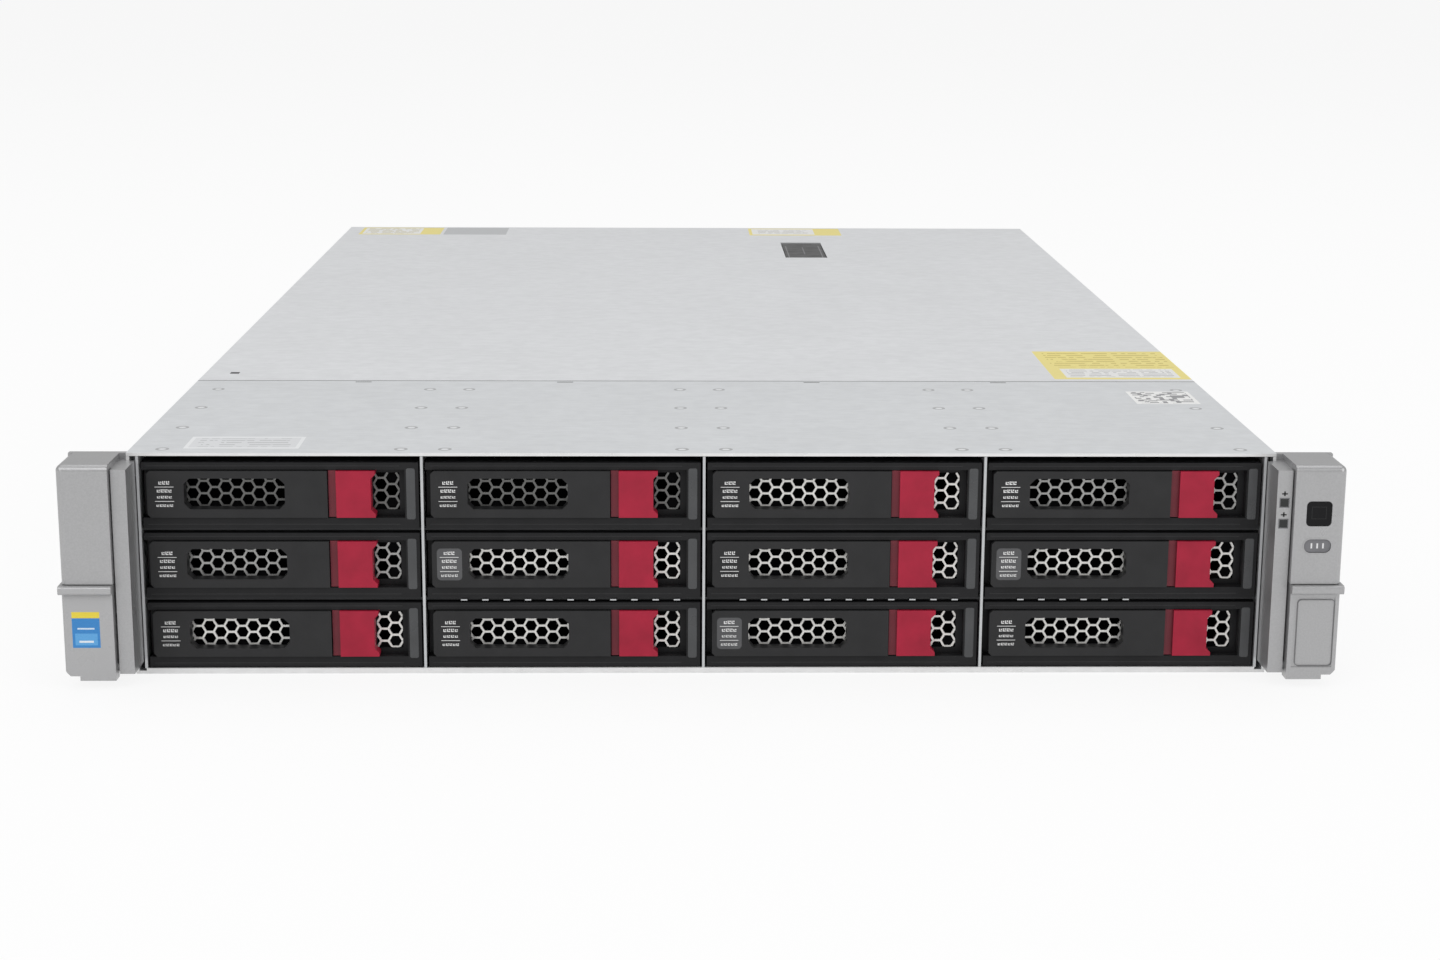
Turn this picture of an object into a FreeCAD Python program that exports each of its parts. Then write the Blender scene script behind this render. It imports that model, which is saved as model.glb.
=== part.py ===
import FreeCAD, Part
import math
import os
import re
import Sketcher

# Two-unit rack server with twelve 3.5 inch drive bays in four columns and three rows.
# Frame: +X to the right seen from the front, +Y towards the back, +Z up.
# The origin is the centre of the chassis's flat bottom. All sizes are millimetres.
# "Depth" in a name is a distance behind the chassis's front plane.

SIZES = [
    ("chassis_width", 438.0, "outside of the side walls"),
    ("chassis_height", 87.3, "two rack units less the usual gap"),
    ("chassis_depth", 700.0, "front plane to rear wall"),
    ("sheet", 1.2, "steel sheet of tray, hood and cover"),
    ("sheet_gap", 0.1, "between the walls and the sheet that lies on them"),
    ("lip_height", 2.2, "folded front edge of the tray"),
    ("hood_depth", 150.7, "fixed front part of the roof"),
    ("cover_seam", 0.3, "gap between hood and cover"),
    ("flange_drop", 9.0, "turned-down side edges of hood and cover"),
    ("flange_inset", 0.3, "flange to the side wall's inner face"),
    ("flange_margin", 6.0, "flange ends to the ends of the sheet"),
    ("bay_side_gap", 4.0, "side wall's outer face to the first divider's middle"),
    ("row_pitch", 27.6, "row to row"),
    ("cage_plate", 1.0, "dividers, shelves and floor of the drive cage"),
    ("cage_depth", 172.0, "front plane to the end of the cage"),
    ("shelf_margin", 3.0, "shelf's front edge behind the front plane"),
    ("bay_clearance", 0.4, "carrier to the plate below it"),
    ("carrier_side_gap", 1.3, "divider's middle to the carrier"),
    ("carrier_height", 25.6, "drive carrier"),
    ("carrier_recess", 0.8, "carrier's front behind the front plane"),
    ("bezel_depth", 14.0, "plastic front of the carrier"),
    ("bezel_wall", 1.5, "walls of the bezel's rear hollow"),
    ("lever_rise", 4.3, "carrier's bottom to the lever"),
    ("lever_height", 18.2, "lever and release button"),
    ("lever_left", 3.3, "divider's middle to the lever's end"),
    ("lever_right_inset", 35.9, "next divider's middle to the lever's other end"),
    ("lever_proud", 0.4, "lever's front ahead of the front plane"),
    ("lever_thickness", 5.6, "lever and release button"),
    ("lever_corner", 1.2, "cut corners of the lever"),
    ("lever_play", 0.3, "lever to the bezel's strips and to the button"),
    ("pocket_depth", 5.8, "floor of the lever's recess behind the front plane"),
    ("pocket_floor", 1.2, "thickness of that floor"),
    ("pocket_inset", 6.6, "next divider's middle to the recess's right end"),
    ("window_left", 17.3, "honeycomb window in the lever"),
    ("window_right_inset", 16.1, "lever's right end to the honeycomb window"),
    ("window_rise", 3.3, "lever's bottom to the window"),
    ("window_height", 12.0, "honeycomb window in the lever"),
    ("window_corner", 2.2, "cut corners of the window"),
    ("window_margin", 1.6, "bezel's opening beyond the lever's window"),
    ("button_width", 17.9, "release button"),
    ("button_step", 3.0, "low strip at the button's left"),
    ("button_step_drop", 1.6, "that strip's front behind the button's front"),
    ("button_notch", 1.7, "notch in the button's right side"),
    ("button_prong", 1.4, "prongs above and below the notch"),
    ("vent_right_inset", 9.1, "next divider's middle to the bezel's honeycomb window"),
    ("vent_width", 10.0, "right honeycomb window in the bezel"),
    ("vent_height", 14.6, "right honeycomb window in the bezel"),
    ("cell_pitch", 4.87, "honeycomb, across the flats with one rib"),
    ("cell_rib", 0.8, "honeycomb rib"),
    ("grille_thickness", 0.8, "steel grille"),
    ("grille_margin", 1.6, "grille beyond the windows"),
    ("rail_thickness", 1.4, "steel side rails of the carrier"),
    ("rail_height", 20.0, "steel side rails of the carrier"),
    ("drive_side_gap", 1.65, "carrier's side to the drive"),
    ("drive_height", 25.1, "3.5 inch drive"),
    ("drive_length", 147.0, "3.5 inch drive"),
    ("drive_gap", 0.3, "drive to the bezel and to the backplane's connector"),
    ("board", 1.6, "circuit boards"),
    ("backplane_socket_width", 42.0, "drive socket"),
    ("backplane_socket_height", 6.0, "drive socket"),
    ("backplane_socket_rise", 4.0, "drive's bottom to its socket"),
    ("backplane_slot_width", 60.0, "air slots of the backplane"),
    ("backplane_slot_height", 9.0, "air slots of the backplane"),
    ("ear_reach", 22.3, "side wall to the ear's outer side"),
    ("rack_hole_inset", 8.75, "ear's outer side to the rack screw holes"),
    ("rack_hole_rise", 21.9, "bottom to the rack screw holes"),
    ("rack_hole_radius", 3.3, "clearance for an M6 rack screw"),
    ("ear_front", 20.0, "ear's front ahead of the front plane"),
    ("ear_flange_depth", 2.0, "front of the ear's flange behind the front plane"),
    ("ear_flange", 3.0, "thickness of the ear's flange"),
    ("ear_top", 86.8, "top of the ear"),
    ("ear_bottom", 5.2, "bottom of the ear"),
    ("ear_block_width", 19.3, "ear's outer block"),
    ("ear_strip_inset", 3.2, "ear's inner strip in front of the side wall"),
    ("ear_strip_width", 5.7, "ear's inner strip"),
    ("ear_strip_drop", 2.4, "strip's top below the ear's top"),
    ("ear_strip_recess", 3.0, "strip's front behind the block's front"),
    ("ear_web_recess", 7.0, "groove between strip and block"),
    ("ear_wall_gap", 0.2, "ear to the chassis's side wall"),
    ("ear_round", 2.4, "rounded front edges of the ears"),
    ("bracket_thickness", 1.6, "ear's bracket on the side wall"),
    ("bracket_length", 42.0, "ear's bracket on the side wall"),
    ("bracket_bottom", 12.0, "ear's bracket on the side wall"),
    ("bracket_height", 62.0, "ear's bracket on the side wall"),
    ("flap_top", 40.8, "top of the release lever's ridge"),
    ("flap_gap", 0.3, "release lever to the ear around it"),
    ("flap_back", 1.0, "release lever's back ahead of the front plane"),
    ("flap_wall", 2.2, "walls of the release lever"),
    ("ridge_height", 3.4, "finger ridge of the release lever"),
    ("ridge_proud", 2.4, "finger ridge ahead of the ear's front"),
    ("ridge_side", 0.8, "finger ridge beyond the ear's side"),
    ("flap_tab_drop", 1.8, "tab under the release lever"),
    ("flap_tab_width", 13.5, "tab under the release lever"),
    ("flap_corner", 2.0, "cut outer bottom corner of the release lever"),
    ("flap_axis_rise", 8.0, "release lever's pivot above the bottom"),
    ("flap_axis_front", 14.0, "release lever's pivot ahead of the front plane"),
    ("flap_relief_depth", 9.5, "slope on the release lever's back top edge"),
    ("flap_relief_drop", 3.0, "slope on the release lever's back top edge"),
    ("pivot_radius", 1.5, "pivot pins"),
    ("pivot_play", 0.05, "pivot pins in their bores"),
    ("pivot_boss", 1.6, "wall round the release lever's bore"),
    ("pivot_length", 15.0, "release lever's pivot pin"),
    ("badge_width", 15.4, "shallow recess on the right release lever"),
    ("badge_height", 27.6, "shallow recess on the right release lever"),
    ("badge_rise", 3.0, "lever's bottom to the recess"),
    ("badge_inset", 0.4, "depth of the recess"),
    ("button_inset", 9.9, "ear's outer side to the middle of the front buttons"),
    ("power_centre_z", 68.4, "power button"),
    ("power_width", 9.4, "power button"),
    ("power_corner", 1.6, "power button's rounded corners"),
    ("locator_centre_z", 55.9, "locator button"),
    ("locator_width", 10.2, "locator button"),
    ("locator_height", 5.2, "locator button"),
    ("locator_corner", 2.4, "locator button's rounded ends"),
    ("button_play", 0.15, "front buttons in their holes"),
    ("button_length", 6.0, "front buttons"),
    ("button_sink", 0.4, "front buttons behind the ear's front"),
    ("button_hole", 8.0, "depth of the front buttons' holes"),
    ("latch_centre_x", 70.5, "cover latch"),
    ("latch_width", 25.0, "cover latch"),
    ("latch_depth", 556.0, "front end of the cover latch's opening"),
    ("latch_length", 70.0, "cover latch's opening"),
    ("latch_gap", 0.5, "cover latch in its opening"),
    ("latch_plate", 2.4, "thickness of the cover latch"),
    ("latch_lip", 3.6, "finger lip under the cover latch's front edge"),
    ("latch_sink", 0.3, "cover latch's top below the cover's top"),
    ("latch_knuckle", 3.2, "radius round the cover latch's pivot"),
    ("latch_axis_drop", 4.4, "cover's top to the cover latch's pivot"),
    ("latch_pan", 12.0, "depth of the pan under the cover latch"),
    ("backset", 4.2, "cover latch's pivot to the pan's rear wall"),
    ("fan_depth", 190.0, "front plane to the fans"),
    ("fan_size", 60.0, "fan frames"),
    ("fan_length", 38.0, "fan frames"),
    ("fan_bore", 28.6, "radius of the fan's bore"),
    ("fan_rise", 3.4, "bottom to the fan frames"),
    ("fan_seat", 0.1, "fans to the cage around them"),
    ("fan_plate", 1.0, "sheet of the fan cage"),
    ("fan_strut", 3.0, "struts that carry the fan motor"),
    ("hub_radius", 14.0, "fan hub"),
    ("hub_length", 30.0, "fan hub"),
    ("hub_gap", 0.4, "fan hub to the motor mount"),
    ("blade_tip", 26.6, "root to tip of the fan blades, from the fan's axis"),
    ("blade_root_chord", 17.0, "fan blades at the hub"),
    ("blade_tip_chord", 20.0, "fan blades at the tip"),
    ("blade_thickness", 1.4, "fan blades"),
    ("board_rise", 5.2, "underside of the system board"),
    ("board_fan_gap", 17.0, "fans to the front edge of the system board"),
    ("board_side_gap", 3.0, "system board to the side walls"),
    ("standoff_radius", 3.0, "standoffs under the system board"),
    ("standoff_inset", 24.8, "board's side edges to the outer standoffs"),
    ("standoff_first", 20.0, "board's front edge to the first standoffs"),
    ("standoff_second", 225.0, "board's front edge to the second standoffs"),
    ("standoff_last", 425.0, "board's front edge to the last standoffs"),
    ("socket_width", 58.0, "processor sockets"),
    ("socket_length", 76.0, "processor sockets"),
    ("socket_height", 4.4, "processor sockets"),
    ("socket_setback", 87.0, "board's front edge to the middle of the processor sockets"),
    ("socket_centre", 109.0, "middle to the processor sockets"),
    ("dimm_pitch", 9.4, "memory slots"),
    ("dimm_slot_width", 6.4, "memory slots"),
    ("dimm_slot_length", 142.0, "memory slots"),
    ("dimm_slot_height", 7.0, "memory slots"),
    ("dimm_height", 31.3, "memory modules above the board"),
    ("dimm_length", 133.4, "memory modules"),
    ("dimm_thickness", 3.8, "memory modules"),
    ("dimm_inner", 14.0, "middle to the nearest memory slot"),
    ("dimm_outer", 157.0, "middle to the outer group of memory slots"),
    ("sink_width", 78.0, "heat sink"),
    ("sink_length", 100.0, "heat sink"),
    ("sink_base", 5.0, "heat sink's base"),
    ("sink_height", 60.0, "heat sink"),
    ("fin_thickness", 1.0, "heat sink's fins"),
    ("fin_pitch", 5.5, "heat sink's fins"),
    ("psu_width", 86.4, "power supplies"),
    ("psu_height", 39.6, "power supplies"),
    ("psu_length", 190.0, "power supplies"),
    ("psu_clearance", 0.4, "power supplies in their bay"),
    ("psu_proud", 1.0, "power supply's face behind the rear wall"),
    ("inlet_width", 27.0, "mains inlet"),
    ("inlet_height", 19.6, "mains inlet"),
    ("inlet_depth", 16.0, "mains inlet"),
    ("inlet_left", 6.0, "power supply's side to the inlet"),
    ("psu_fan_radius", 16.0, "power supply's air outlet"),
    ("psu_fan_depth", 5.0, "power supply's air outlet"),
    ("psu_fan_centre", 60.0, "power supply's side to the outlet"),
    ("psu_bar", 1.6, "bars across the air outlet"),
    ("psu_bar_pitch", 8.8, "bars across the air outlet"),
    ("handle_reach", 11.0, "power supply's handle behind its face"),
    ("handle_thickness", 2.4, "power supply's handle"),
    ("handle_width", 32.0, "power supply's handle"),
    ("handle_height", 9.0, "power supply's handle"),
    ("handle_drop", 1.4, "power supply's top to its handle"),
    ("psu_latch_width", 3.0, "power supply's latch"),
    ("psu_latch_height", 16.0, "power supply's latch"),
    ("psu_latch_reach", 9.0, "power supply's latch behind its face"),
    ("psu_latch_inset", 2.2, "power supply's side to the latch"),
    ("psu_latch_root", 12.0, "latch's root inside the power supply"),
    ("psu_latch_gap", 0.2, "latch to the power supply around it"),
    ("psu_latch_room", 2.0, "room for the latch's swing towards the handle"),
    ("psu_socket_width", 46.0, "power supply's socket on the power board"),
    ("psu_socket_height", 13.0, "power supply's socket on the power board"),
    ("psu_socket_rise", 13.0, "power supply's bottom to its socket"),
    ("psu_socket_reach", 11.6, "power board to the power supplies"),
    ("riser_width", 120.0, "windows for expansion cards"),
    ("riser_rise", 24.4, "bottom of those windows"),
    ("slot_pitch", 20.0, "expansion slot to slot"),
    ("slot_cover", 0.9, "blank slot covers"),
    ("riser_length", 165.0, "riser boards and cages"),
    ("riser_left_gap", 7.4, "supply bays to the middle riser's window"),
    ("riser_right_gap", 5.8, "right riser's window to the side wall's inner face"),
    ("riser_wall", 1.2, "sheet of the riser cages"),
    ("riser_rail", 5.0, "rail across the top of a riser cage"),
    ("card_socket_width", 10.0, "card sockets on the riser boards"),
    ("card_socket_length", 84.0, "card sockets on the riser boards"),
    ("card_socket_height", 7.0, "card sockets on the riser boards"),
    ("card_socket_rise", 5.0, "slot's bottom to its card socket"),
    ("card_socket_start", 20.0, "front end of the riser board to the card sockets"),
    ("port_rise", 0.2, "connectors above the board"),
    ("port_depth", 18.0, "connectors at the rear"),
    ("port_play", 0.3, "connectors in the port frame"),
    ("port_frame", 2.5, "thickness of the frame around the rear connectors"),
    ("port_frame_gap", 0.1, "port frame to the rear wall and to the board"),
    ("port_frame_rim", 2.0, "port frame around the outer connectors"),
    ("port_frame_lap", 1.0, "port frame behind the edges of its cut-out"),
    ("port_proud", 0.6, "connectors behind the rear wall"),
    ("port_sink", 10.0, "depth of the connectors' openings"),
    ("jack_width", 16.0, "network jacks"),
    ("jack_height", 14.0, "network jacks"),
    ("usb_width", 14.5, "USB ports"),
    ("usb_height", 7.0, "USB ports"),
    ("plug_width", 31.0, "video and serial connectors"),
    ("plug_height", 12.4, "video and serial connectors"),
    ("network_x", 15.4, "supply bays to the network jacks"),
    ("management_x", 87.4, "supply bays to the management jack"),
    ("usb_x", 111.4, "supply bays to the USB ports"),
    ("video_x", 153.4, "supply bays to the video connector"),
    ("serial_x", 186.4, "supply bays to the serial connector"),
    ("stud_radius", 2.8, "rail studs on the side walls"),
    ("stud_length", 3.4, "rail studs on the side walls"),
    ("stud_rise", 43.6, "bottom to the rail studs"),
    ("stud_spacing", 240.0, "rail stud to rail stud"),
    ("stud_first", 110.0, "first rail stud behind the front plane"),
    ("stud_stagger", 3.0, "left rail studs behind the right ones, so that the rails differ"),
]
VALUES = {name: value for name, value, note in SIZES}
COLUMNS = 4
ROWS = 3
STUDS_PER_SIDE = 3
BLADES = 5
BLADE_PITCH = 42.0
HUB_SIDES = 15
BORE_SIDES = 18
FRONT = "-chassis_depth/2"
REAR = "chassis_depth/2"
ROOF = "(chassis_height-sheet)"
WALL_TOP = "(chassis_height-sheet-sheet_gap)"
BAY_FLOOR = "(sheet+cage_plate)"
FIRST_ROW = "(sheet+cage_plate+bay_clearance)"

doc = FreeCAD.newDocument("rack_server")
sheet = doc.addObject("Spreadsheet::Sheet", "Sizes")
for line, (name, value, note) in enumerate(SIZES, start=1):
    sheet.set(f"A{line}", name)
    sheet.set(f"B{line}", str(value))
    sheet.set(f"C{line}", note)
    sheet.setAlias(f"B{line}", name)
doc.recompute()
SUB_PARTS = {}

# Sizes that follow from others.
FOLLOWING = [
    ("bay_pitch", f"(chassis_width-2*bay_side_gap)/{COLUMNS}", "column to column"),
    ("carrier_width", "bay_pitch-2*carrier_side_gap", "drive carrier"),
    ("drive_width", "carrier_width-2*drive_side_gap", "3.5 inch drive"),
    ("lever_right", "bay_pitch-lever_right_inset", "divider's middle to the lever's end"),
    ("pocket_right", "bay_pitch-pocket_inset", "divider's middle to the recess's end"),
    ("window_right", "lever_right-window_right_inset", "divider's middle to the window's end"),
    ("button_right", "lever_right+lever_play+button_width", "divider's middle to the button's end"),
    ("vent_right", "bay_pitch-vent_right_inset", "divider's middle to the vent's end"),
    ("vent_left", "vent_right-vent_width", "divider's middle to the vent"),
    ("ear_outer", "chassis_width/2+ear_reach", "middle to the ear's outer side"),
    ("ear_block_inner", "ear_outer-ear_block_width", "middle to the ear's outer block"),
    ("ear_strip_inner", "chassis_width/2-ear_strip_inset", "middle to the ear's inner strip"),
    ("ear_strip_outer", "ear_strip_inner+ear_strip_width", "middle to the strip's outer side"),
    ("power_centre_x", "ear_outer-button_inset", "middle to the front buttons"),
    ("board_depth", "fan_depth+fan_length+board_fan_gap", "front edge of the system board"),
    ("board_side", "chassis_width/2-sheet-board_side_gap", "middle to the board's side edge"),
    ("socket_depth", "board_depth+socket_setback", "middle of the processor sockets"),
    ("supply_bay_end", "psu_width+2*psu_clearance+2*sheet-chassis_width/2",
     "middle to the right side of the supply bays"),
    ("riser_left_x", "supply_bay_end+riser_left_gap", "left end of the middle window"),
    ("riser_right_x", "chassis_width/2-sheet-riser_right_gap-riser_width",
     "left end of the right window"),
]
VALUES.update({name: None for name, formula, note in FOLLOWING})


def ex(text):
    """Point each named size in an expression at the sheet."""
    def named(match):
        word = match.group(0)
        return f"Sizes.{word}" if word in VALUES else word
    return re.sub(r"[a-z_]+", named, text)


for line, (name, formula, note) in enumerate(FOLLOWING, start=len(SIZES) + 1):
    sheet.set(f"A{line}", name)
    sheet.set(f"B{line}", "=" + re.sub("Sizes[.]", "", ex(formula)))
    sheet.set(f"C{line}", note)
    sheet.setAlias(f"B{line}", name)
doc.recompute()


def value_of(text):
    """Work an expression out in numbers, for choosing edges."""
    return float(sheet.evalExpression(ex(text)))


def bind(item, **sizes):
    for name, text in sizes.items():
        item.setExpression(name, ex(text))
    return item


def place(item, x, y, z):
    for axis, text in zip("xyz", (x, y, z)):
        item.setExpression(f"Placement.Base.{axis}", ex(text))
    return item


def block(name, x, y, z, length, width, height):
    """A box with its lowest corner at x, y, z."""
    piece = doc.addObject("Part::Box", name)
    bind(piece, Length=length, Width=width, Height=height)
    return place(piece, x, y, z)


def rod(name, x, y, z, radius, height, direction=(0, 0, 1)):
    """A cylinder that starts at x, y, z and runs along direction."""
    piece = doc.addObject("Part::Cylinder", name)
    bind(piece, Radius=radius, Height=height)
    turn = FreeCAD.Rotation(FreeCAD.Vector(0, 0, 1), FreeCAD.Vector(*direction))
    piece.Placement = FreeCAD.Placement(FreeCAD.Vector(), turn)
    return place(piece, x, y, z)


def fuse(name, pieces):
    joined = doc.addObject("Part::MultiFuse", name)
    joined.Shapes = pieces
    joined.Refine = True
    return joined


def cut(name, base, tools):
    """Take the tools away from the base."""
    result = doc.addObject("Part::Cut", name)
    result.Base = base
    result.Tool = tools[0] if len(tools) == 1 else fuse(name + "_tools", tools)
    result.Refine = True
    return result


def group(name, pieces):
    """Separate solids that share one sub-part."""
    together = doc.addObject("Part::Compound", name)
    together.Links = pieces
    return together


def publish(label, item):
    item.Label = label
    SUB_PARTS[label] = item
    return item


def origin_plane(body, role):
    return next(item for item in body.Origin.OriginFeatures if item.Role == role)


def outline(body, name, role, points, offset="0"):
    """A closed sketch through points given as pairs of expressions."""
    sketch = body.newObject("Sketcher::SketchObject", name)
    sketch.AttachmentSupport = [(origin_plane(body, role), "")]
    sketch.MapMode = "FlatFace"
    sketch.setExpression("AttachmentOffset.Base.z", ex(offset))
    corners = [FreeCAD.Vector(value_of(u), value_of(v), 0) for u, v in points]
    count = len(points)
    for index, corner in enumerate(corners):
        line = Part.LineSegment(corner, corners[(index + 1) % count])
        sketch.addGeometry(line, False)
    for index in range(count):
        following = (index + 1) % count
        sketch.addConstraint(Sketcher.Constraint("Coincident", index, 2, following, 1))
    for index, (corner, texts) in enumerate(zip(corners, points)):
        for kind, number, text in zip(("DistanceX", "DistanceY"), corner, texts):
            which = sketch.addConstraint(Sketcher.Constraint(kind, -1, 1, index, 1, number))
            sketch.setExpression(f"Constraints[{which}]", ex(text))
    return sketch


def pad(body, name, sketch, length, backwards=False):
    feature = body.newObject("PartDesign::Pad", name)
    feature.Profile = sketch
    feature.Reversed = backwards
    bind(feature, Length=length)
    doc.recompute()
    return feature


def pocket(body, name, sketch, length=None, backwards=False):
    """Cut a sketch into the body, right through if it has no length."""
    before = body.Shape.Volume
    feature = body.newObject("PartDesign::Pocket", name)
    feature.Profile = sketch
    feature.Reversed = backwards
    if length is None:
        feature.Type = "ThroughAll"
        feature.Midplane = True
    else:
        bind(feature, Length=length)
    doc.recompute()
    if body.Shape.Volume >= before:
        raise RuntimeError(f"{name} cuts nothing")
    return feature


def edges_where(shape, test):
    """Names of the edges whose middle passes a test."""
    return [f"Edge{number}" for number, edge in enumerate(shape.Edges, start=1)
            if test(edge.CenterOfMass, edge)]


def dress(body, kind, name, test, **sizes):
    """Fillet or chamfer the edges that pass a test."""
    base = body.Tip
    feature = body.newObject(f"PartDesign::{kind}", name)
    feature.Base = (base, edges_where(base.Shape, test))
    bind(feature, **sizes)
    doc.recompute()
    return feature


def new_body(name):
    return doc.addObject("PartDesign::Body", name)


def rectangle(left, bottom, right, top):
    return [(left, bottom), (right, bottom), (right, top), (left, top)]


def cut_rectangle(left, bottom, right, top, corner):
    """A rectangle with its four corners cut off."""
    return [(f"{left}+{corner}", bottom), (f"{right}-{corner}", bottom),
            (right, f"{bottom}+{corner}"), (right, f"{top}-{corner}"),
            (f"{right}-{corner}", top), (f"{left}+{corner}", top),
            (left, f"{top}-{corner}"), (left, f"{bottom}+{corner}")]


def parallel(edge, axis):
    """Whether a straight edge runs along an axis."""
    ends = edge.Vertexes
    if len(ends) != 2 or edge.Curve.TypeId != "Part::GeomLine":
        return False
    way = ends[1].Point - ends[0].Point
    return abs(abs(way[axis]) - edge.Length) < 1e-6


def near(number, text):
    return abs(number - value_of(text)) < 1e-4


# Drive carriers. Each is drawn once, with its corner at the middle of the divider
# on its left, its own bottom and the chassis's front plane.

CARRIER_LEFT = "(bay_pitch-carrier_width)/2"
CARRIER_RIGHT = "(bay_pitch+carrier_width)/2"
LEVER_TOP = "(lever_rise+lever_height)"
WINDOW_BOTTOM = "(lever_rise+window_rise)"
WINDOW_TOP = "(lever_rise+window_rise+window_height)"
BEZEL_BACK = "(carrier_recess+bezel_depth)"
GRILLE_FRONT = "(pocket_depth+pocket_floor)"
VENT_BOTTOM = "(lever_rise+(lever_height-vent_height)/2)"


def make_bezel():
    """Plastic front: two strips, a recess for the lever and a hollow back."""
    outer = block("bezel_outer", CARRIER_LEFT, "carrier_recess", "0",
                  "carrier_width", "bezel_depth", "carrier_height")
    recess = block("bezel_recess", f"{CARRIER_LEFT}-sheet", "0", "lever_rise-lever_play",
                   f"pocket_right-({CARRIER_LEFT})+sheet", "pocket_depth",
                   "lever_height+2*lever_play")
    window = block("bezel_window", "window_left-window_margin", "0",
                   f"{WINDOW_BOTTOM}-window_margin",
                   "window_right-window_left+2*window_margin", BEZEL_BACK,
                   "window_height+2*window_margin")
    vent = block("bezel_vent", "vent_left", "0", VENT_BOTTOM,
                 "vent_right-vent_left", BEZEL_BACK, "vent_height")
    hollow = block("bezel_hollow", f"{CARRIER_LEFT}+bezel_wall", GRILLE_FRONT, "bezel_wall",
                   "carrier_width-2*bezel_wall", "bezel_depth",
                   "carrier_height-2*bezel_wall")
    return cut("bezel", outer, [recess, window, vent, hollow])


def cut_cells(body, name, x, z, across, up):
    """One hexagonal hole and its pattern: every second column, and up the column."""
    reach = "(cell_pitch-cell_rib)/sqrt(3)"
    half = "(cell_pitch-cell_rib)/2"
    corners = [(f"{x}+{reach}", z), (f"{x}+{reach}/2", f"{z}+{half}"),
               (f"{x}-{reach}/2", f"{z}+{half}"), (f"{x}-{reach}", z),
               (f"{x}-{reach}/2", f"{z}-{half}"), (f"{x}+{reach}/2", f"{z}-{half}")]
    sketch = outline(body, name + "_cell", "XZ_Plane", corners)
    hole = pocket(body, name + "_hole", sketch)
    if across * up == 1:
        return
    pattern = body.newObject("PartDesign::MultiTransform", name + "_cells")
    pattern.Originals = [hole]
    steps = []
    for way, axis, count, pitch in (("across", "H_Axis", across, "cell_pitch*sqrt(3)"),
                                    ("up", "V_Axis", up, "cell_pitch")):
        if count > 1:
            step = body.newObject("PartDesign::LinearPattern", f"{name}_{way}")
            step.Direction = (sketch, [axis])
            step.Occurrences = count
            bind(step, Length=f"{count - 1}*{pitch}")
            steps.append(step)
    pattern.Transformations = steps
    body.Tip = pattern
    doc.recompute()


def make_grille():
    """Stamped steel sheet behind both windows, with a honeycomb of hexagonal cells."""
    body = new_body("grille")
    bottom = "lever_rise-lever_play"
    sheet_outline = rectangle("window_left-grille_margin", bottom,
                              "vent_right+grille_margin", f"{LEVER_TOP}+lever_play")
    base = outline(body, "grille_outline", "XZ_Plane", sheet_outline, f"-{GRILLE_FRONT}")
    pad(body, "grille_sheet", base, "grille_thickness", True)
    column = "cell_pitch*sqrt(3)/2"
    middle_x = "(window_left+window_right)/2"
    middle_z = f"({WINDOW_BOTTOM}+{WINDOW_TOP})/2"
    vent_x = "(vent_left+vent_right)/2"
    low = f"{middle_z}-cell_pitch*3/4"
    high = f"{middle_z}-cell_pitch/4"
    cut_cells(body, "odd", f"{middle_x}-4*{column}", high, 5, 2)
    cut_cells(body, "even", f"{middle_x}-3*{column}", low, 4, 2)
    cut_cells(body, "vent_near", f"{vent_x}-{column}/2", f"{middle_z}-cell_pitch/2", 1, 2)
    cut_cells(body, "vent_far", f"{vent_x}+{column}/2", middle_z, 1, 1)
    return body


def make_rails_and_drive():
    """Steel side rails with the drive between them."""
    rail_length = "drive_length+drive_gap"
    rail_rise = "(carrier_height-rail_height)/2"
    left = block("rail_left", CARRIER_LEFT, BEZEL_BACK, rail_rise,
                 "rail_thickness", rail_length, "rail_height")
    right = block("rail_right", f"{CARRIER_RIGHT}-rail_thickness", BEZEL_BACK, rail_rise,
                  "rail_thickness", rail_length, "rail_height")
    drive = block("drive", "(bay_pitch-drive_width)/2", f"{BEZEL_BACK}+drive_gap",
                  "(carrier_height-drive_height)/2",
                  "drive_width", "drive_length", "drive_height")
    return [left, right, drive]


def make_lever():
    """Swing lever with the honeycomb window, its left end cut for the swing."""
    body = new_body("lever")
    face = cut_rectangle("lever_left", "lever_rise", "lever_right", LEVER_TOP, "lever_corner")
    face = [face[0], ("lever_right", "lever_rise"), ("lever_right", LEVER_TOP)] + face[5:]
    plate = outline(body, "lever_outline", "XZ_Plane", face, "lever_proud")
    pad(body, "lever_plate", plate, "lever_thickness", True)
    window = cut_rectangle("window_left", WINDOW_BOTTOM, "window_right", WINDOW_TOP,
                           "window_corner")
    pocket(body, "lever_window", outline(body, "window_outline", "XZ_Plane", window))
    return body


def make_release_button():
    """Red button: a low strip at the left and two prongs at the right."""
    body = new_body("release_button")
    left = "lever_right+lever_play"
    notch = "button_right-button_notch"
    lower = "lever_rise+button_prong"
    upper = f"{LEVER_TOP}-button_prong"
    face = [(left, "lever_rise"), ("button_right", "lever_rise"), ("button_right", lower),
            (notch, f"{lower}+button_notch"), (notch, f"{upper}-button_notch"),
            ("button_right", upper), ("button_right", LEVER_TOP), (left, LEVER_TOP)]
    plate = outline(body, "button_outline", "XZ_Plane", face, "lever_proud")
    pad(body, "button_plate", plate, "lever_thickness", True)
    step = rectangle(f"{left}-sheet", "lever_rise-sheet", f"{left}+button_step",
                     f"{LEVER_TOP}+sheet")
    step = outline(body, "step_outline", "XZ_Plane", step, "lever_proud")
    pocket(body, "button_low_strip", step, "button_step_drop")
    return body


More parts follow.
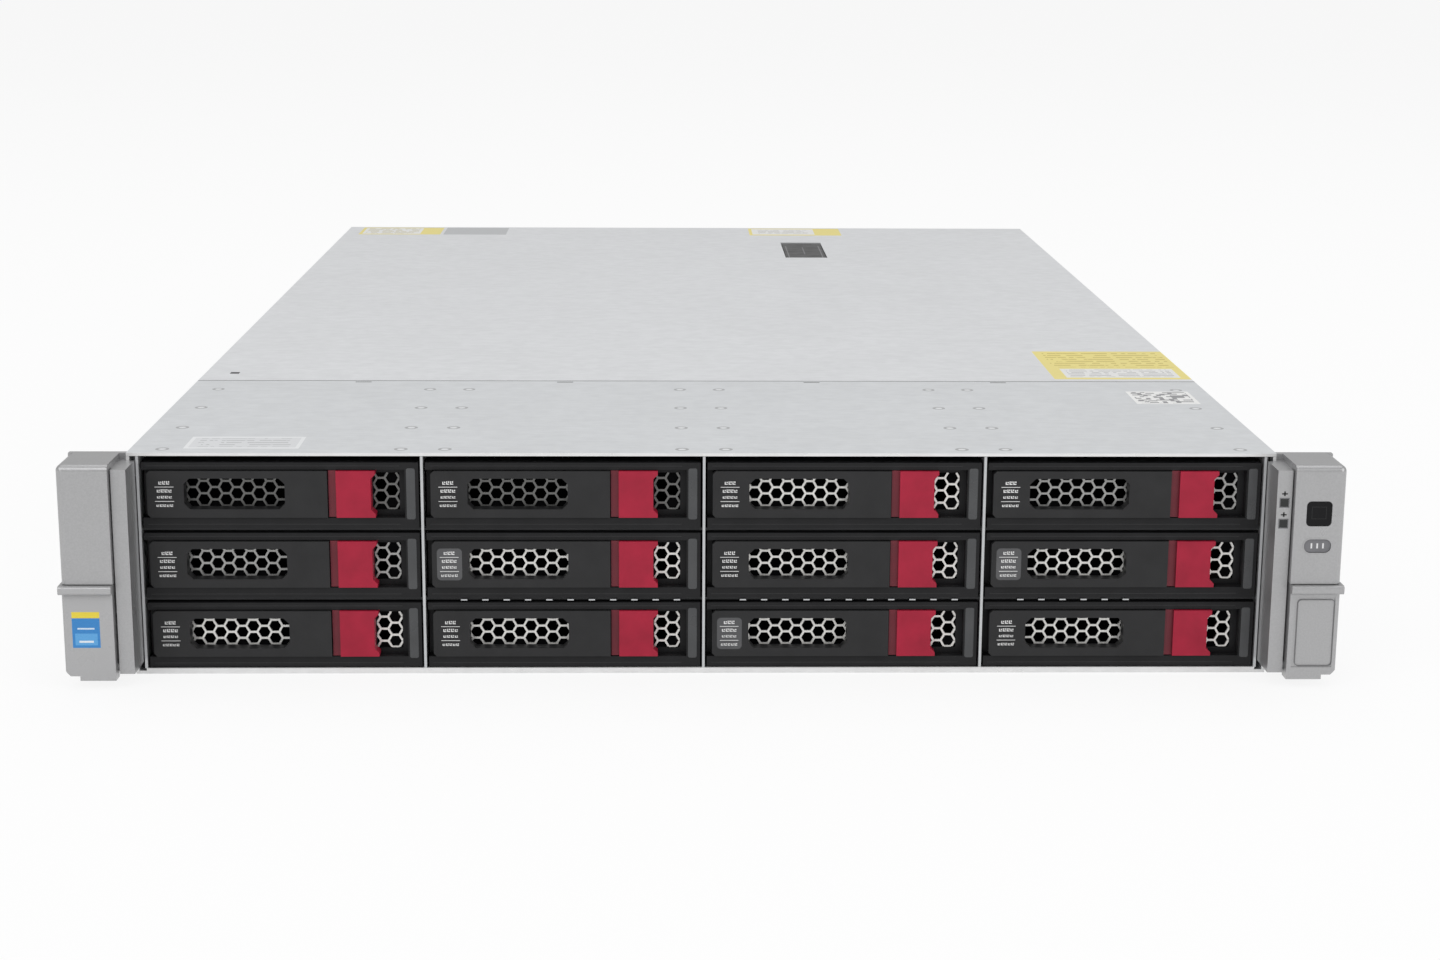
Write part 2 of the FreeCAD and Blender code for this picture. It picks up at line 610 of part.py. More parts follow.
def make_bays():
    """Repeat the carrier, its lever and its release button in every bay."""
    carrier = [make_bezel(), make_grille()] + make_rails_and_drive()
    lever = [make_lever()]
    button = [make_release_button()]
    for row in range(ROWS):
        for column in range(COLUMNS):
            number = row * COLUMNS + column + 1
            x = f"({column}-{COLUMNS}/2)*bay_pitch"
            z = f"{FIRST_ROW}+{ROWS - 1 - row}*row_pitch"
            for label, pieces in (("drive_carrier", carrier), ("carrier_lever", lever),
                                  ("release_button", button)):
                label = f"{label}_{number:02d}"
                publish(label, place(group(label, pieces), x, FRONT, z))


# Chassis: tray, drive cage, hood and cover.

BAY_WALL_LEFT = f"(-{COLUMNS}/2*bay_pitch)"
PSU_LEFT = "(-chassis_width/2+sheet+psu_clearance)"
PSU_RIGHT = f"({PSU_LEFT}+psu_width)"
PSU_FLOORS = ["(sheet+psu_clearance)", "(2*sheet+3*psu_clearance+psu_height)"]
PSU_SHELF = "(sheet+2*psu_clearance+psu_height)"
PSU_TOP = "(2*sheet+4*psu_clearance+2*psu_height)"
PSU_FRONT = f"({REAR}+psu_proud-psu_length)"
BOARD_STEP = f"({PSU_FRONT}-psu_clearance-psu_socket_reach)"
BOARD_TOP = "(board_rise+board)"
PORT_BOTTOM = f"({BOARD_TOP}+port_rise-port_play)"
RISERS = {"middle": "riser_left_x", "right": "riser_right_x"}
SLOTS_PER_RISER = 3
RISER_HEIGHT = f"({SLOTS_PER_RISER}*slot_pitch)"

# Rear connectors: name, width, height and how many side by side.
NETWORK_JACKS = 4
USB_PORTS = 2
SINGLE = 1
PORTS = [
    ("network", "jack_width", "jack_height", NETWORK_JACKS),
    ("management", "jack_width", "jack_height", SINGLE),
    ("usb", "usb_width", "usb_height", USB_PORTS),
    ("video", "plug_width", "plug_height", SINGLE),
    ("serial", "plug_width", "plug_height", SINGLE),
]


def port_start(name):
    """Left end of a group of connectors."""
    return f"(supply_bay_end+{name}_x)"


def port_end():
    """Right end of the last group of connectors."""
    name, width, height, count = PORTS[-1]
    return f"({port_start(name)}+{count}*{width})"


def port_frame():
    """Moulded frame that fills the rear wall's cut-out around the connectors."""
    face = f"({REAR}-sheet-port_frame_gap)"
    left = f"({port_start(PORTS[0][0])}-port_frame_rim)"
    plate = block("port_frame_plate", left, f"{face}-port_frame", "board_rise",
                  f"{port_end()}+port_frame_rim-{left}", "port_frame",
                  "board+port_rise+jack_height+port_play+port_frame_rim")
    windows = [block(f"{name}_window", f"{port_start(name)}-port_play", f"{face}-2*port_frame",
                     PORT_BOTTOM, f"{count}*{width}+2*port_play", "3*port_frame",
                     f"{height}+2*port_play")
               for name, width, height, count in PORTS]
    return cut("port_frame", plate, windows)


def port_shell(name, x, width, height):
    """A metal connector shell on the board with its opening at the rear."""
    face = f"{REAR}+port_proud"
    bottom = f"{BOARD_TOP}+port_rise"
    wall = "port_proud"
    shell = block(name + "_shell", x, f"{face}-port_depth", bottom, width, "port_depth", height)
    mouth = block(name + "_mouth", f"{x}+{wall}", f"{face}-port_sink", f"{bottom}+{wall}",
                  f"{width}-2*{wall}", f"port_sink+{wall}", f"{height}-2*{wall}")
    return cut(name, shell, [mouth])


def make_tray():
    """Folded steel tray, and on it a rear wall that turns in beside the supply bays."""
    left = "-chassis_width/2"
    floor = block("floor", left, FRONT, "0", "chassis_width", "chassis_depth", "sheet")
    walls = [block(f"wall_{side}", x, FRONT, "0", "sheet", "chassis_depth", WALL_TOP)
             for side, x in (("left", left), ("right", "chassis_width/2-sheet"))]
    lip = block("lip", BAY_WALL_LEFT, FRONT, "0", f"{COLUMNS}*bay_pitch", "sheet", "lip_height")
    side_left = "(supply_bay_end-sheet)"
    rear = block("rear", side_left, f"{REAR}-sheet", "sheet",
                 f"chassis_width/2-sheet-{side_left}", "sheet", f"{WALL_TOP}-sheet")
    shelf = block("supply_shelf", f"{left}+sheet", PSU_FRONT, PSU_SHELF,
                  "psu_width+2*psu_clearance", f"{REAR}-{PSU_FRONT}", "sheet")
    side = block("supply_side", side_left, PSU_FRONT, "sheet",
                 "sheet", f"{REAR}-{PSU_FRONT}", f"{WALL_TOP}-sheet")
    studs = []
    for number in range(STUDS_PER_SIDE):
        y = f"{FRONT}+stud_first+{number}*stud_spacing"
        studs.append(rod(f"stud_left_{number}", left, f"{y}+stud_stagger", "stud_rise",
                         "stud_radius", "stud_length", (-1, 0, 0)))
        studs.append(rod(f"stud_right_{number}", "chassis_width/2", y, "stud_rise",
                         "stud_radius", "stud_length", (1, 0, 0)))
    tray = fuse("tray_solid", [floor, lip] + walls + studs)
    holes = []
    for name, x in RISERS.items():
        holes.append(block(f"riser_window_{name}", x, f"{REAR}-2*sheet", "riser_rise",
                           "riser_width", "3*sheet", f"{RISER_HEIGHT}-sheet"))
    edge = "(port_frame_rim-port_frame_lap)"
    left_edge = f"({port_start(PORTS[0][0])}-{edge})"
    holes.append(block("port_window", left_edge, f"{REAR}-2*sheet", PORT_BOTTOM,
                       f"{port_end()}+{edge}-{left_edge}", "3*sheet",
                       f"jack_height+2*port_play+{edge}"))
    return group("tray", [tray, cut("rear_wall", fuse("rear_and_side", [rear, side]), holes),
                          shelf])


def make_drive_cage():
    """Floor, side walls, dividers and shelves that carry the drives."""
    half = "cage_plate/2"
    pieces = [block("cage_floor", f"{BAY_WALL_LEFT}-{half}", f"{FRONT}+sheet", "sheet",
                    f"{COLUMNS}*bay_pitch+cage_plate", "cage_depth-sheet", "cage_plate")]
    for number in range(COLUMNS + 1):
        pieces.append(block(f"divider_{number}", f"{BAY_WALL_LEFT}+{number}*bay_pitch-{half}",
                            FRONT, BAY_FLOOR, "cage_plate", "cage_depth",
                            f"{WALL_TOP}-{BAY_FLOOR}"))
    for row in range(1, ROWS):
        for column in range(COLUMNS):
            pieces.append(block(f"shelf_{row}_{column}",
                                f"{BAY_WALL_LEFT}+{column}*bay_pitch+{half}",
                                f"{FRONT}+shelf_margin",
                                f"{BAY_FLOOR}+{row}*row_pitch-cage_plate",
                                "bay_pitch-cage_plate", "cage_depth-shelf_margin",
                                "cage_plate"))
    return group("cage", pieces)


def flanged_sheet(name, start, length, flange_stop):
    """A roof sheet with a turned-down flange along each side."""
    plate = block(name + "_plate", "-chassis_width/2", start, ROOF,
                  "chassis_width", length, "sheet")
    inset = "chassis_width/2-sheet-flange_inset"
    flanges = [block(f"{name}_flange_{side}", x, f"{start}+flange_margin",
                     f"{ROOF}-flange_drop", "sheet", f"{flange_stop}-{start}-2*flange_margin",
                     "flange_drop+sheet/2")
               for side, x in (("left", f"-({inset})"), ("right", f"{inset}-sheet"))]
    return [plate] + flanges


COVER_START = f"({FRONT}+hood_depth+cover_seam)"


def make_hood():
    """Fixed front part of the roof."""
    return fuse("hood", flanged_sheet("hood", FRONT, "hood_depth", COVER_START))


LATCH_LEFT = "(latch_centre_x-latch_width/2)"
LATCH_FRONT = f"({FRONT}+latch_depth)"
LATCH_AXIS_Y = f"({LATCH_FRONT}+latch_length-backset)"
LATCH_AXIS_Z = "(chassis_height-latch_axis_drop)"


def make_cover():
    """Access cover with a sunk pan for its latch and the latch's pin across it."""
    plates = flanged_sheet("cover", COVER_START, f"{REAR}-{COVER_START}", BOARD_STEP)
    pan_wall = "cage_plate"
    pan = block("pan_outer", f"{LATCH_LEFT}-{pan_wall}", f"{LATCH_FRONT}-{pan_wall}",
                "chassis_height-latch_pan", f"latch_width+2*{pan_wall}",
                f"latch_length+2*{pan_wall}", "latch_pan-sheet/2")
    hollow = block("pan_hollow", LATCH_LEFT, LATCH_FRONT,
                   f"chassis_height-latch_pan+{pan_wall}", "latch_width", "latch_length",
                   "latch_pan")
    shell = cut("cover_shell", fuse("cover_plates", plates + [pan]), [hollow])
    pin = rod("latch_pin", f"{LATCH_LEFT}-{pan_wall}/2", LATCH_AXIS_Y, LATCH_AXIS_Z,
              "pivot_radius", f"latch_width+{pan_wall}", (1, 0, 0))
    return fuse("cover", [shell, pin])


def make_latch():
    """Flap-up latch plate that turns on the pin at its rear end."""
    left = f"{LATCH_LEFT}+latch_gap"
    width = "latch_width-2*latch_gap"
    top = "chassis_height-latch_sink"
    plate = block("latch_plate_block", left, f"{LATCH_FRONT}+latch_gap", f"{top}-latch_plate",
                  width, "latch_length-backset-latch_gap", "latch_plate")
    lip = block("latch_lip", left, f"{LATCH_FRONT}+latch_gap", f"{top}-2*latch_plate",
                width, "latch_plate", "latch_lip")
    knuckle = rod("latch_knuckle_rod", left, LATCH_AXIS_Y, LATCH_AXIS_Z,
                  "latch_knuckle", width, (1, 0, 0))
    bore = rod("latch_bore", LATCH_LEFT, LATCH_AXIS_Y, LATCH_AXIS_Z,
               "pivot_radius+pivot_play", "latch_width", (1, 0, 0))
    return cut("latch", fuse("latch_solid", [plate, lip, knuckle]), [bore])


# Rack ears. Each is drawn as the right one and mirrored for the left.

EAR_OUTER = "ear_outer"
EAR_FRONT_Y = f"({FRONT}-ear_front)"
FLAP_INNER = "(ear_block_inner+flap_gap)"
FLAP_AXIS_Y = f"({FRONT}-flap_axis_front)"


def ear_block():
    """Upper block of the ear, rounded along its top, side and front edges."""
    body = new_body("ear_block")
    bottom = "flap_top+flap_gap"
    face = rectangle("ear_block_inner", bottom, EAR_OUTER, "ear_top")
    sketch = outline(body, "ear_block_outline", "XZ_Plane", face, f"-{EAR_FRONT_Y}")
    pad(body, "ear_block_pad", sketch, "ear_front+ear_flange_depth+sheet", True)

    def rounded(middle, edge):
        front_top = near(middle.y, EAR_FRONT_Y) and near(middle.z, "ear_top")
        outside = near(middle.x, EAR_OUTER)
        return front_top or (outside and near(middle.y, EAR_FRONT_Y)) \
            or (outside and near(middle.z, "ear_top"))

    dress(body, "Fillet", "ear_block_round", rounded, Radius="ear_round")
    return body


def ear_pieces(name, upper):
    """Solid of a right-hand ear and its rack hole, not yet cut."""
    strip_front = f"{EAR_FRONT_Y}+ear_strip_recess"
    strip_height = "ear_top-ear_strip_drop-ear_bottom"
    wall_clear = "chassis_width/2+ear_wall_gap"
    strip = block(name + "_strip", "ear_strip_inner", strip_front, "ear_bottom",
                  "ear_strip_outer-ear_strip_inner",
                  "ear_front-ear_strip_recess-ear_wall_gap", strip_height)
    web = block(name + "_web", wall_clear, f"{EAR_FRONT_Y}+ear_web_recess", "ear_bottom",
                f"ear_block_inner-({wall_clear})",
                "ear_front-ear_web_recess+ear_flange_depth+ear_flange", strip_height)
    flange = block(name + "_flange", wall_clear, f"{FRONT}+ear_flange_depth", "ear_bottom",
                   f"{EAR_OUTER}-({wall_clear})", "ear_flange", "ear_top-ear_bottom")
    bracket = block(name + "_bracket", wall_clear, f"{FRONT}+ear_flange_depth",
                    "bracket_bottom", "bracket_thickness",
                    "ear_flange+bracket_length", "bracket_height")
    pin = rod(name + "_pin", "ear_block_inner-sheet", FLAP_AXIS_Y, "flap_axis_rise",
              "pivot_radius", "pivot_length+sheet", (1, 0, 0))
    hole = rod(name + "_rack_hole", f"{EAR_OUTER}-rack_hole_inset", f"{FRONT}-sheet",
               "rack_hole_rise", "rack_hole_radius",
               "ear_flange_depth+ear_flange+2*sheet", (0, 1, 0))
    solid = fuse(name + "_solid", [upper, strip, web, flange, bracket, pin])
    return solid, hole


def mirrored(name, source):
    """The same piece on the other side of the middle plane."""
    copy = doc.addObject("Part::Mirroring", name)
    copy.Source = source
    copy.Normal = FreeCAD.Vector(1, 0, 0)
    return copy


def button_shape(name, width, height, corner, centre_z, play, depth, length):
    """A rounded block centred on the front buttons' line."""
    body = new_body(name)
    left = f"power_centre_x-{width}/2-{play}"
    right = f"power_centre_x+{width}/2+{play}"
    bottom = f"{centre_z}-{height}/2-{play}"
    top = f"{centre_z}+{height}/2+{play}"
    sketch = outline(body, name + "_outline", "XZ_Plane", rectangle(left, bottom, right, top),
                     f"-({EAR_FRONT_Y}+{depth})")
    pad(body, name + "_pad", sketch, length, True)
    dress(body, "Fillet", name + "_round", lambda middle, edge: parallel(edge, 1),
          Radius=f"{corner}+{play}")
    return body


FRONT_BUTTONS = {
    "power": ("power_width", "power_width", "power_corner", "power_centre_z"),
    "locator": ("locator_width", "locator_height", "locator_corner", "locator_centre_z"),
}


def make_ears():
    """Right ear with two button holes, left ear without."""
    upper = ear_block()
    solid, hole = ear_pieces("right_ear", upper)
    holes = [hole]
    for name, shape in FRONT_BUTTONS.items():
        holes.append(button_shape(name + "_hole", *shape, "button_play", "-sheet",
                                  "button_hole+sheet"))
        button = button_shape(name + "_body", *shape, "0", "button_sink", "button_length")
        publish(name + "_button", group(name + "_group", [button]))
    publish("right_ear", cut("right_ear_cut", solid, holes))
    solid, hole = ear_pieces("left_ear", upper)
    publish("left_ear", mirrored("left_ear_mirror", cut("left_ear_cut", solid, [hole])))


def flap_solid(name):
    """Release lever: a hollow moulding with a finger ridge, turning at its bottom."""
    body = new_body(name)
    back = f"{FRONT}-flap_back"
    shoulder = "flap_top-ridge_height"
    face = [(FLAP_INNER, "ear_bottom"), (f"{EAR_OUTER}-flap_corner", "ear_bottom"),
            (EAR_OUTER, "ear_bottom+flap_corner"), (EAR_OUTER, shoulder),
            (f"{EAR_OUTER}+ridge_side", shoulder), (f"{EAR_OUTER}+ridge_side", "flap_top"),
            (FLAP_INNER, "flap_top")]
    sketch = outline(body, name + "_outline", "XZ_Plane", face, f"-({EAR_FRONT_Y}-ridge_proud)")
    pad(body, name + "_pad", sketch, f"{back}-({EAR_FRONT_Y}-ridge_proud)", True)
    relief = rectangle("ear_block_inner-sheet", "ear_bottom-sheet",
                       f"{EAR_OUTER}+2*ridge_side", shoulder)
    relief = outline(body, name + "_relief", "XZ_Plane", relief,
                     f"-({EAR_FRONT_Y}-ridge_proud)")
    pocket(body, name + "_face", relief, "ridge_proud")

    def long_front_edge(middle, edge):
        low_front = near(middle.y, EAR_FRONT_Y) and near(middle.x, EAR_OUTER)
        ridge_front = near(middle.y, f"{EAR_FRONT_Y}-ridge_proud") and parallel(edge, 0)
        return low_front or ridge_front

    dress(body, "Fillet", name + "_round", long_front_edge, Radius="ridge_height/3")
    hollow = rectangle(f"{FLAP_INNER}+flap_wall", "flap_axis_rise+pivot_radius+pivot_boss",
                       f"{EAR_OUTER}-flap_wall", f"{shoulder}-flap_wall/2")
    hollow = outline(body, name + "_hollow", "XZ_Plane", hollow, f"-({back})")
    pocket(body, name + "_back", hollow, "ear_front-flap_back-flap_wall", True)
    slope = [(back, "flap_top-flap_relief_drop"), (back, "flap_top"),
             (f"{back}-flap_relief_depth", "flap_top")]
    pocket(body, name + "_swing_room", outline(body, name + "_slope", "YZ_Plane", slope))
    return body


def make_flap(name, badge):
    """One release lever with its tab and bore, and the right one's shallow recess."""
    body = flap_solid(name + "_body")
    tab = block(name + "_tab", FLAP_INNER, EAR_FRONT_Y, "ear_bottom-flap_tab_drop",
                "flap_tab_width", "ear_front-flap_axis_front", "flap_tab_drop+flap_wall/2")
    bore = rod(name + "_bore", "ear_block_inner", FLAP_AXIS_Y, "flap_axis_rise",
               "pivot_radius+pivot_play", "pivot_length+2*flap_gap", (1, 0, 0))
    tools = [bore]
    if badge:
        middle = f"({FLAP_INNER}+{EAR_OUTER})/2"
        tools.append(block(name + "_badge", f"{middle}-badge_width/2",
                           f"{EAR_FRONT_Y}-badge_inset", "ear_bottom+badge_rise",
                           "badge_width", "2*badge_inset", "badge_height"))
    return cut(name + "_cut", fuse(name + "_solid", [body, tab]), tools)


# Inside: backplane, fans, system board, heat sink, risers and power supplies.

def make_backplane():
    """Drive backplane with one socket for each bay and air slots between."""
    y = f"({FRONT}+cage_depth+port_play)"
    side = f"{COLUMNS}*bay_pitch/2"
    board = block("backplane_board", f"-{side}", y, FIRST_ROW,
                  f"2*{side}", "board", f"{ROWS}*row_pitch")
    slots = []
    sockets = []
    drive_back = f"({FRONT}+{BEZEL_BACK}+2*drive_gap+drive_length)"
    for row in range(ROWS):
        for column in range(COLUMNS):
            tag = f"{row}_{column}"
            middle = f"({column}-{COLUMNS}/2+0.5)*bay_pitch"
            base = f"{FIRST_ROW}+{row}*row_pitch"
            slots.append(block(f"air_slot_{tag}", f"{middle}-backplane_slot_width/2",
                               FRONT, f"{base}+carrier_height/2",
                               "backplane_slot_width", "2*cage_depth",
                               "backplane_slot_height"))
            sockets.append(block(f"drive_socket_{tag}",
                                 f"{middle}-backplane_socket_width/2", drive_back,
                                 f"{base}+backplane_socket_rise",
                                 "backplane_socket_width",
                                 f"{y}-{drive_back}",
                                 "backplane_socket_height"))
    return group("backplane", [cut("backplane_cut", board, slots)] + sockets)


FAN_PLACES = 6
DIMMS_PER_BANK = 6
LIVE_FANS = [2, 3, 4, 5]
FAN_PITCH = "(fan_size+2*fan_seat+fan_plate)"
FAN_MIDDLE_Z = "(fan_rise+fan_size/2)"
FAN_Y = f"({FRONT}+fan_depth)"
MOUNT_Y = f"({FAN_Y}+fan_length-fan_strut)"


def fan_middle(number):
    return f"(({number}-{FAN_PLACES}/2+0.5)*{FAN_PITCH})"


def prism(name, x, y, z, sides, radius, height):
    """A many-sided prism along Y, for round openings that repeat."""
    piece = doc.addObject("Part::Prism", name)
    piece.Polygon = sides
    bind(piece, Circumradius=radius, Height=height)
    turn = FreeCAD.Rotation(FreeCAD.Vector(1, 0, 0), -90)
    piece.Placement = FreeCAD.Placement(FreeCAD.Vector(), turn)
    return place(piece, x, y, z)


def make_fan_frame(number):
    """Square fan frame with a bore, a strut, a motor mount and its shaft."""
    middle = fan_middle(number)
    frame = block(f"fan_frame_{number}", f"{middle}-fan_size/2", FAN_Y, "fan_rise",
                  "fan_size", "fan_length", "fan_size")
    bore = prism(f"fan_bore_{number}", middle, f"{FAN_Y}-sheet", FAN_MIDDLE_Z,
                 BORE_SIDES, "fan_bore", "fan_length+2*sheet")
    ring = cut(f"fan_ring_{number}", frame, [bore])
    strut = block(f"fan_strut_{number}", f"{middle}-fan_size/2+sheet", MOUNT_Y,
                  f"{FAN_MIDDLE_Z}-fan_strut/2", "fan_size-2*sheet", "fan_strut", "fan_strut")
    mount = prism(f"motor_mount_{number}", middle, MOUNT_Y, FAN_MIDDLE_Z,
                  HUB_SIDES, "hub_radius", "fan_strut")
    shaft = rod(f"fan_shaft_{number}", middle, f"{MOUNT_Y}-hub_length/2", FAN_MIDDLE_Z,
                "pivot_radius", "hub_length/2+sheet", (0, 1, 0))
    return fuse(f"fan_{number}", [ring, strut, mount, shaft])


def make_fan_cage():
    """Sheet cage with six places: four fans and two blanks."""
    edge = f"({FAN_PLACES}/2*{FAN_PITCH}+fan_plate/2)"
    pieces = [block("fan_floor", f"-{edge}", FAN_Y, "sheet", f"2*{edge}", "fan_length",
                    "fan_rise-fan_seat-sheet")]
    for number in range(FAN_PLACES + 1):
        pieces.append(block(f"fan_partition_{number}",
                            f"({number}-{FAN_PLACES}/2)*{FAN_PITCH}-fan_plate/2",
                            FAN_Y, "fan_rise-fan_seat", "fan_plate", "fan_length",
                            "fan_size+4*fan_plate"))
    for number in range(FAN_PLACES):
        if number in LIVE_FANS:
            pieces.append(make_fan_frame(number))
        else:
            pieces.append(block(f"fan_blank_{number}", f"{fan_middle(number)}-fan_size/2",
                                FAN_Y, "fan_rise", "fan_size", "fan_length", "fan_size"))
    return group("fan_cage_group", pieces)


def flat_solid(loops):
    """A solid closed by flat faces, each given by its corners."""
    faces = [Part.Face(Part.makePolygon(loop + loop[:1])) for loop in loops]
    return Part.Solid(Part.Shell(faces))


def blade(root, tip, angle):
    """One pitched flat blade that widens from the hub to its tip."""
    thick = value_of("blade_thickness")
    pitch = math.radians(BLADE_PITCH)

    def section(radius, chord):
        corners = []
        for along, across in ((-1, -1), (1, -1), (1, 1), (-1, 1)):
            x = along * chord / 2
            y = across * thick / 2
            corners.append(FreeCAD.Vector(x * math.cos(pitch) - y * math.sin(pitch),
                                          x * math.sin(pitch) + y * math.cos(pitch), radius))
        return corners

    low = section(root, value_of("blade_root_chord"))
    high = section(tip, value_of("blade_tip_chord"))
    sides = [[low[index], low[(index + 1) % 4], high[(index + 1) % 4], high[index]]
             for index in range(4)]
    shape = flat_solid([low[::-1], high] + sides)
    shape.rotate(FreeCAD.Vector(), FreeCAD.Vector(0, 1, 0), angle)
    return shape


def make_rotor(number, position):
    """Fan rotor: a many-sided hub with pitched blades and a bore for the shaft."""
    radius = value_of("hub_radius")
    length = value_of("hub_length")
    back = FreeCAD.Vector(0, 1, 0)
    corners = [FreeCAD.Vector(radius * math.cos(2 * math.pi * side / HUB_SIDES), -length,
                              radius * math.sin(2 * math.pi * side / HUB_SIDES))
               for side in range(HUB_SIDES)]
    solid = Part.Face(Part.makePolygon(corners + corners[:1])).extrude(back * length)
    tip = math.sqrt(value_of("blade_tip")**2 - (value_of("blade_tip_chord") / 2)**2)
    for index in range(BLADES):
        wing = blade(value_of("hub_radius-sheet*2"), tip, 360.0 / BLADES * index)
        wing.translate(back * (-length / 2))
        solid = solid.fuse(wing)
    bore_length = value_of("hub_length/2+hub_gap")
    bore = Part.makeCylinder(value_of("pivot_radius+pivot_play"), bore_length,
                             back * -bore_length, back)
    rotor = doc.addObject("Part::Feature", f"rotor_{number}")
    rotor.Shape = solid.cut(bore).removeSplitter()
    return place(rotor, fan_middle(position), f"{MOUNT_Y}-hub_gap", FAN_MIDDLE_Z)


def make_system_board():
    """System board on standoffs, with sockets, memory and rear connectors."""
    start = f"({FRONT}+board_depth)"
    stop = BOARD_STEP
    step = f"({PSU_RIGHT}+board_side_gap)"
    front_part = block("board_front", "-board_side", start, "board_rise", "2*board_side",
                       f"{stop}-{start}", "board")
    rear_part = block("board_rear", step, stop, "board_rise", f"board_side-{step}",
                      f"{REAR}-sheet-port_frame-2*port_frame_gap-{stop}", "board")
    pieces = [fuse("board_sheet", [front_part, rear_part])]
    for depth in ("standoff_first", "standoff_second", "standoff_last"):
        outer = "board_side-standoff_inset"
        for side, x in (("left", f"-({outer})"), ("middle", "0"), ("right", outer)):
            if (side, depth) != ("left", "standoff_last"):
                standoff = doc.addObject("Part::Prism", f"{depth}_{side}")
                bind(standoff, Circumradius="standoff_radius", Height="board_rise-sheet")
                pieces.append(place(standoff, x, f"{start}+{depth}", "sheet"))
    middle_y = f"{FRONT}+socket_depth"
    for side, x in (("left", "-socket_centre"), ("right", "socket_centre")):
        pieces.append(block(f"cpu_socket_{side}", f"{x}-socket_width/2",
                            f"{middle_y}-socket_length/2", BOARD_TOP,
                            "socket_width", "socket_length", "socket_height"))
    for bank, start_x in enumerate(("-dimm_outer", "-dimm_inner", "dimm_inner", "dimm_outer")):
        sign = -1 if bank < 2 else 1
        for number in range(DIMMS_PER_BANK):
            x = f"{start_x}+{sign * number}*dimm_pitch"
            pieces.append(block(f"dimm_slot_{bank}_{number}", f"{x}-dimm_slot_width/2",
                                f"{middle_y}-dimm_slot_length/2", BOARD_TOP,
                                "dimm_slot_width", "dimm_slot_length", "dimm_slot_height"))
            if bank >= 2 and number % 2 == 0:
                pieces.append(block(f"dimm_{bank}_{number}", f"{x}-dimm_thickness/2",
                                    f"{middle_y}-dimm_length/2",
                                    f"{BOARD_TOP}+dimm_slot_height", "dimm_thickness",
                                    "dimm_length", "dimm_height-dimm_slot_height"))
    for name, width, height, count in PORTS:
        for number in range(count):
            pieces.append(port_shell(f"{name}_{number}", f"{port_start(name)}+{number}*{width}",
                                     width, height))
    pieces.append(port_frame())
    pieces.append(block("power_board", PSU_LEFT, f"{stop}-board", BOARD_TOP, "psu_width",
                        "board", f"{PSU_TOP}-{BOARD_TOP}"))
    for number, bottom in enumerate(PSU_FLOORS):
        pieces.append(block(f"supply_socket_{number}", f"{PSU_LEFT}+inlet_left", stop,
                            f"{bottom}+psu_socket_rise", "psu_socket_width",
                            "psu_socket_reach", "psu_socket_height"))
    return group("system_board_group", pieces)


def make_heat_sink():
    """Base with a row of fins that run with the air."""
    body = new_body("sink")
    bottom = f"({BOARD_TOP}+socket_height)"
    left = "socket_centre-sink_width/2"
    start = f"{FRONT}+socket_depth-sink_length/2"
    base = rectangle(left, bottom, "socket_centre+sink_width/2", f"{bottom}+sink_base")
    pad(body, "sink_base_pad", outline(body, "sink_base_outline", "XZ_Plane", base,
                                       f"-({start})"), "sink_length", True)
    fin = rectangle(left, f"{bottom}+sink_base/2", f"{left}+fin_thickness",
                    f"{bottom}+sink_height")
    fin_sketch = outline(body, "fin_outline", "XZ_Plane", fin, f"-({start})")
    fin_pad = pad(body, "fin", fin_sketch, "sink_length", True)
    fins = body.newObject("PartDesign::LinearPattern", "fins")
    fins.Originals = [fin_pad]
    fins.Direction = (fin_sketch, ["H_Axis"])
    span = "sink_width-fin_thickness"
    bind(fins, Length=span, Occurrences=f"floor(({span})/fin_pitch)+1")
    body.Tip = fins
    doc.recompute()
    return group("sink_group", [body])


def make_riser_cages():
    """Two riser cages: a riser board, a side sheet, a top rail and blank slot covers."""
    pieces = []
    start = f"({REAR}-sheet-riser_length)"
    top = f"(riser_rise+{RISER_HEIGHT}-sheet)"
    for name, x in RISERS.items():
        side = f"({x}-riser_wall-port_play)"
        pieces.append(block(f"riser_side_{name}", side, start, BOARD_TOP, "riser_wall",
                            "riser_length-sheet_gap", f"{top}-{BOARD_TOP}"))
        board_x = f"({x}+riser_width-board-port_play)"
        pieces.append(block(f"riser_board_{name}", board_x, start, BOARD_TOP, "board",
                            "riser_length-port_depth", f"{top}-sheet-{BOARD_TOP}"))
        pieces.append(block(f"riser_rail_{name}", f"{side}+riser_wall", start,
                            f"{top}-sheet", "riser_width", "riser_rail", "sheet"))
        for slot in range(SLOTS_PER_RISER):
            bottom = f"(riser_rise+{slot}*slot_pitch+port_play)"
            pieces.append(block(f"slot_blank_{name}_{slot}", f"{x}+port_play",
                                f"{REAR}-sheet", bottom, "riser_width-2*port_play",
                                "slot_cover", "slot_pitch-sheet-2*port_play"))
            pieces.append(block(f"card_socket_{name}_{slot}", f"{board_x}-card_socket_width",
                                f"{start}+card_socket_start", f"{bottom}+card_socket_rise",
                                "card_socket_width", "card_socket_length",
                                "card_socket_height"))
    return group("riser_group", pieces)


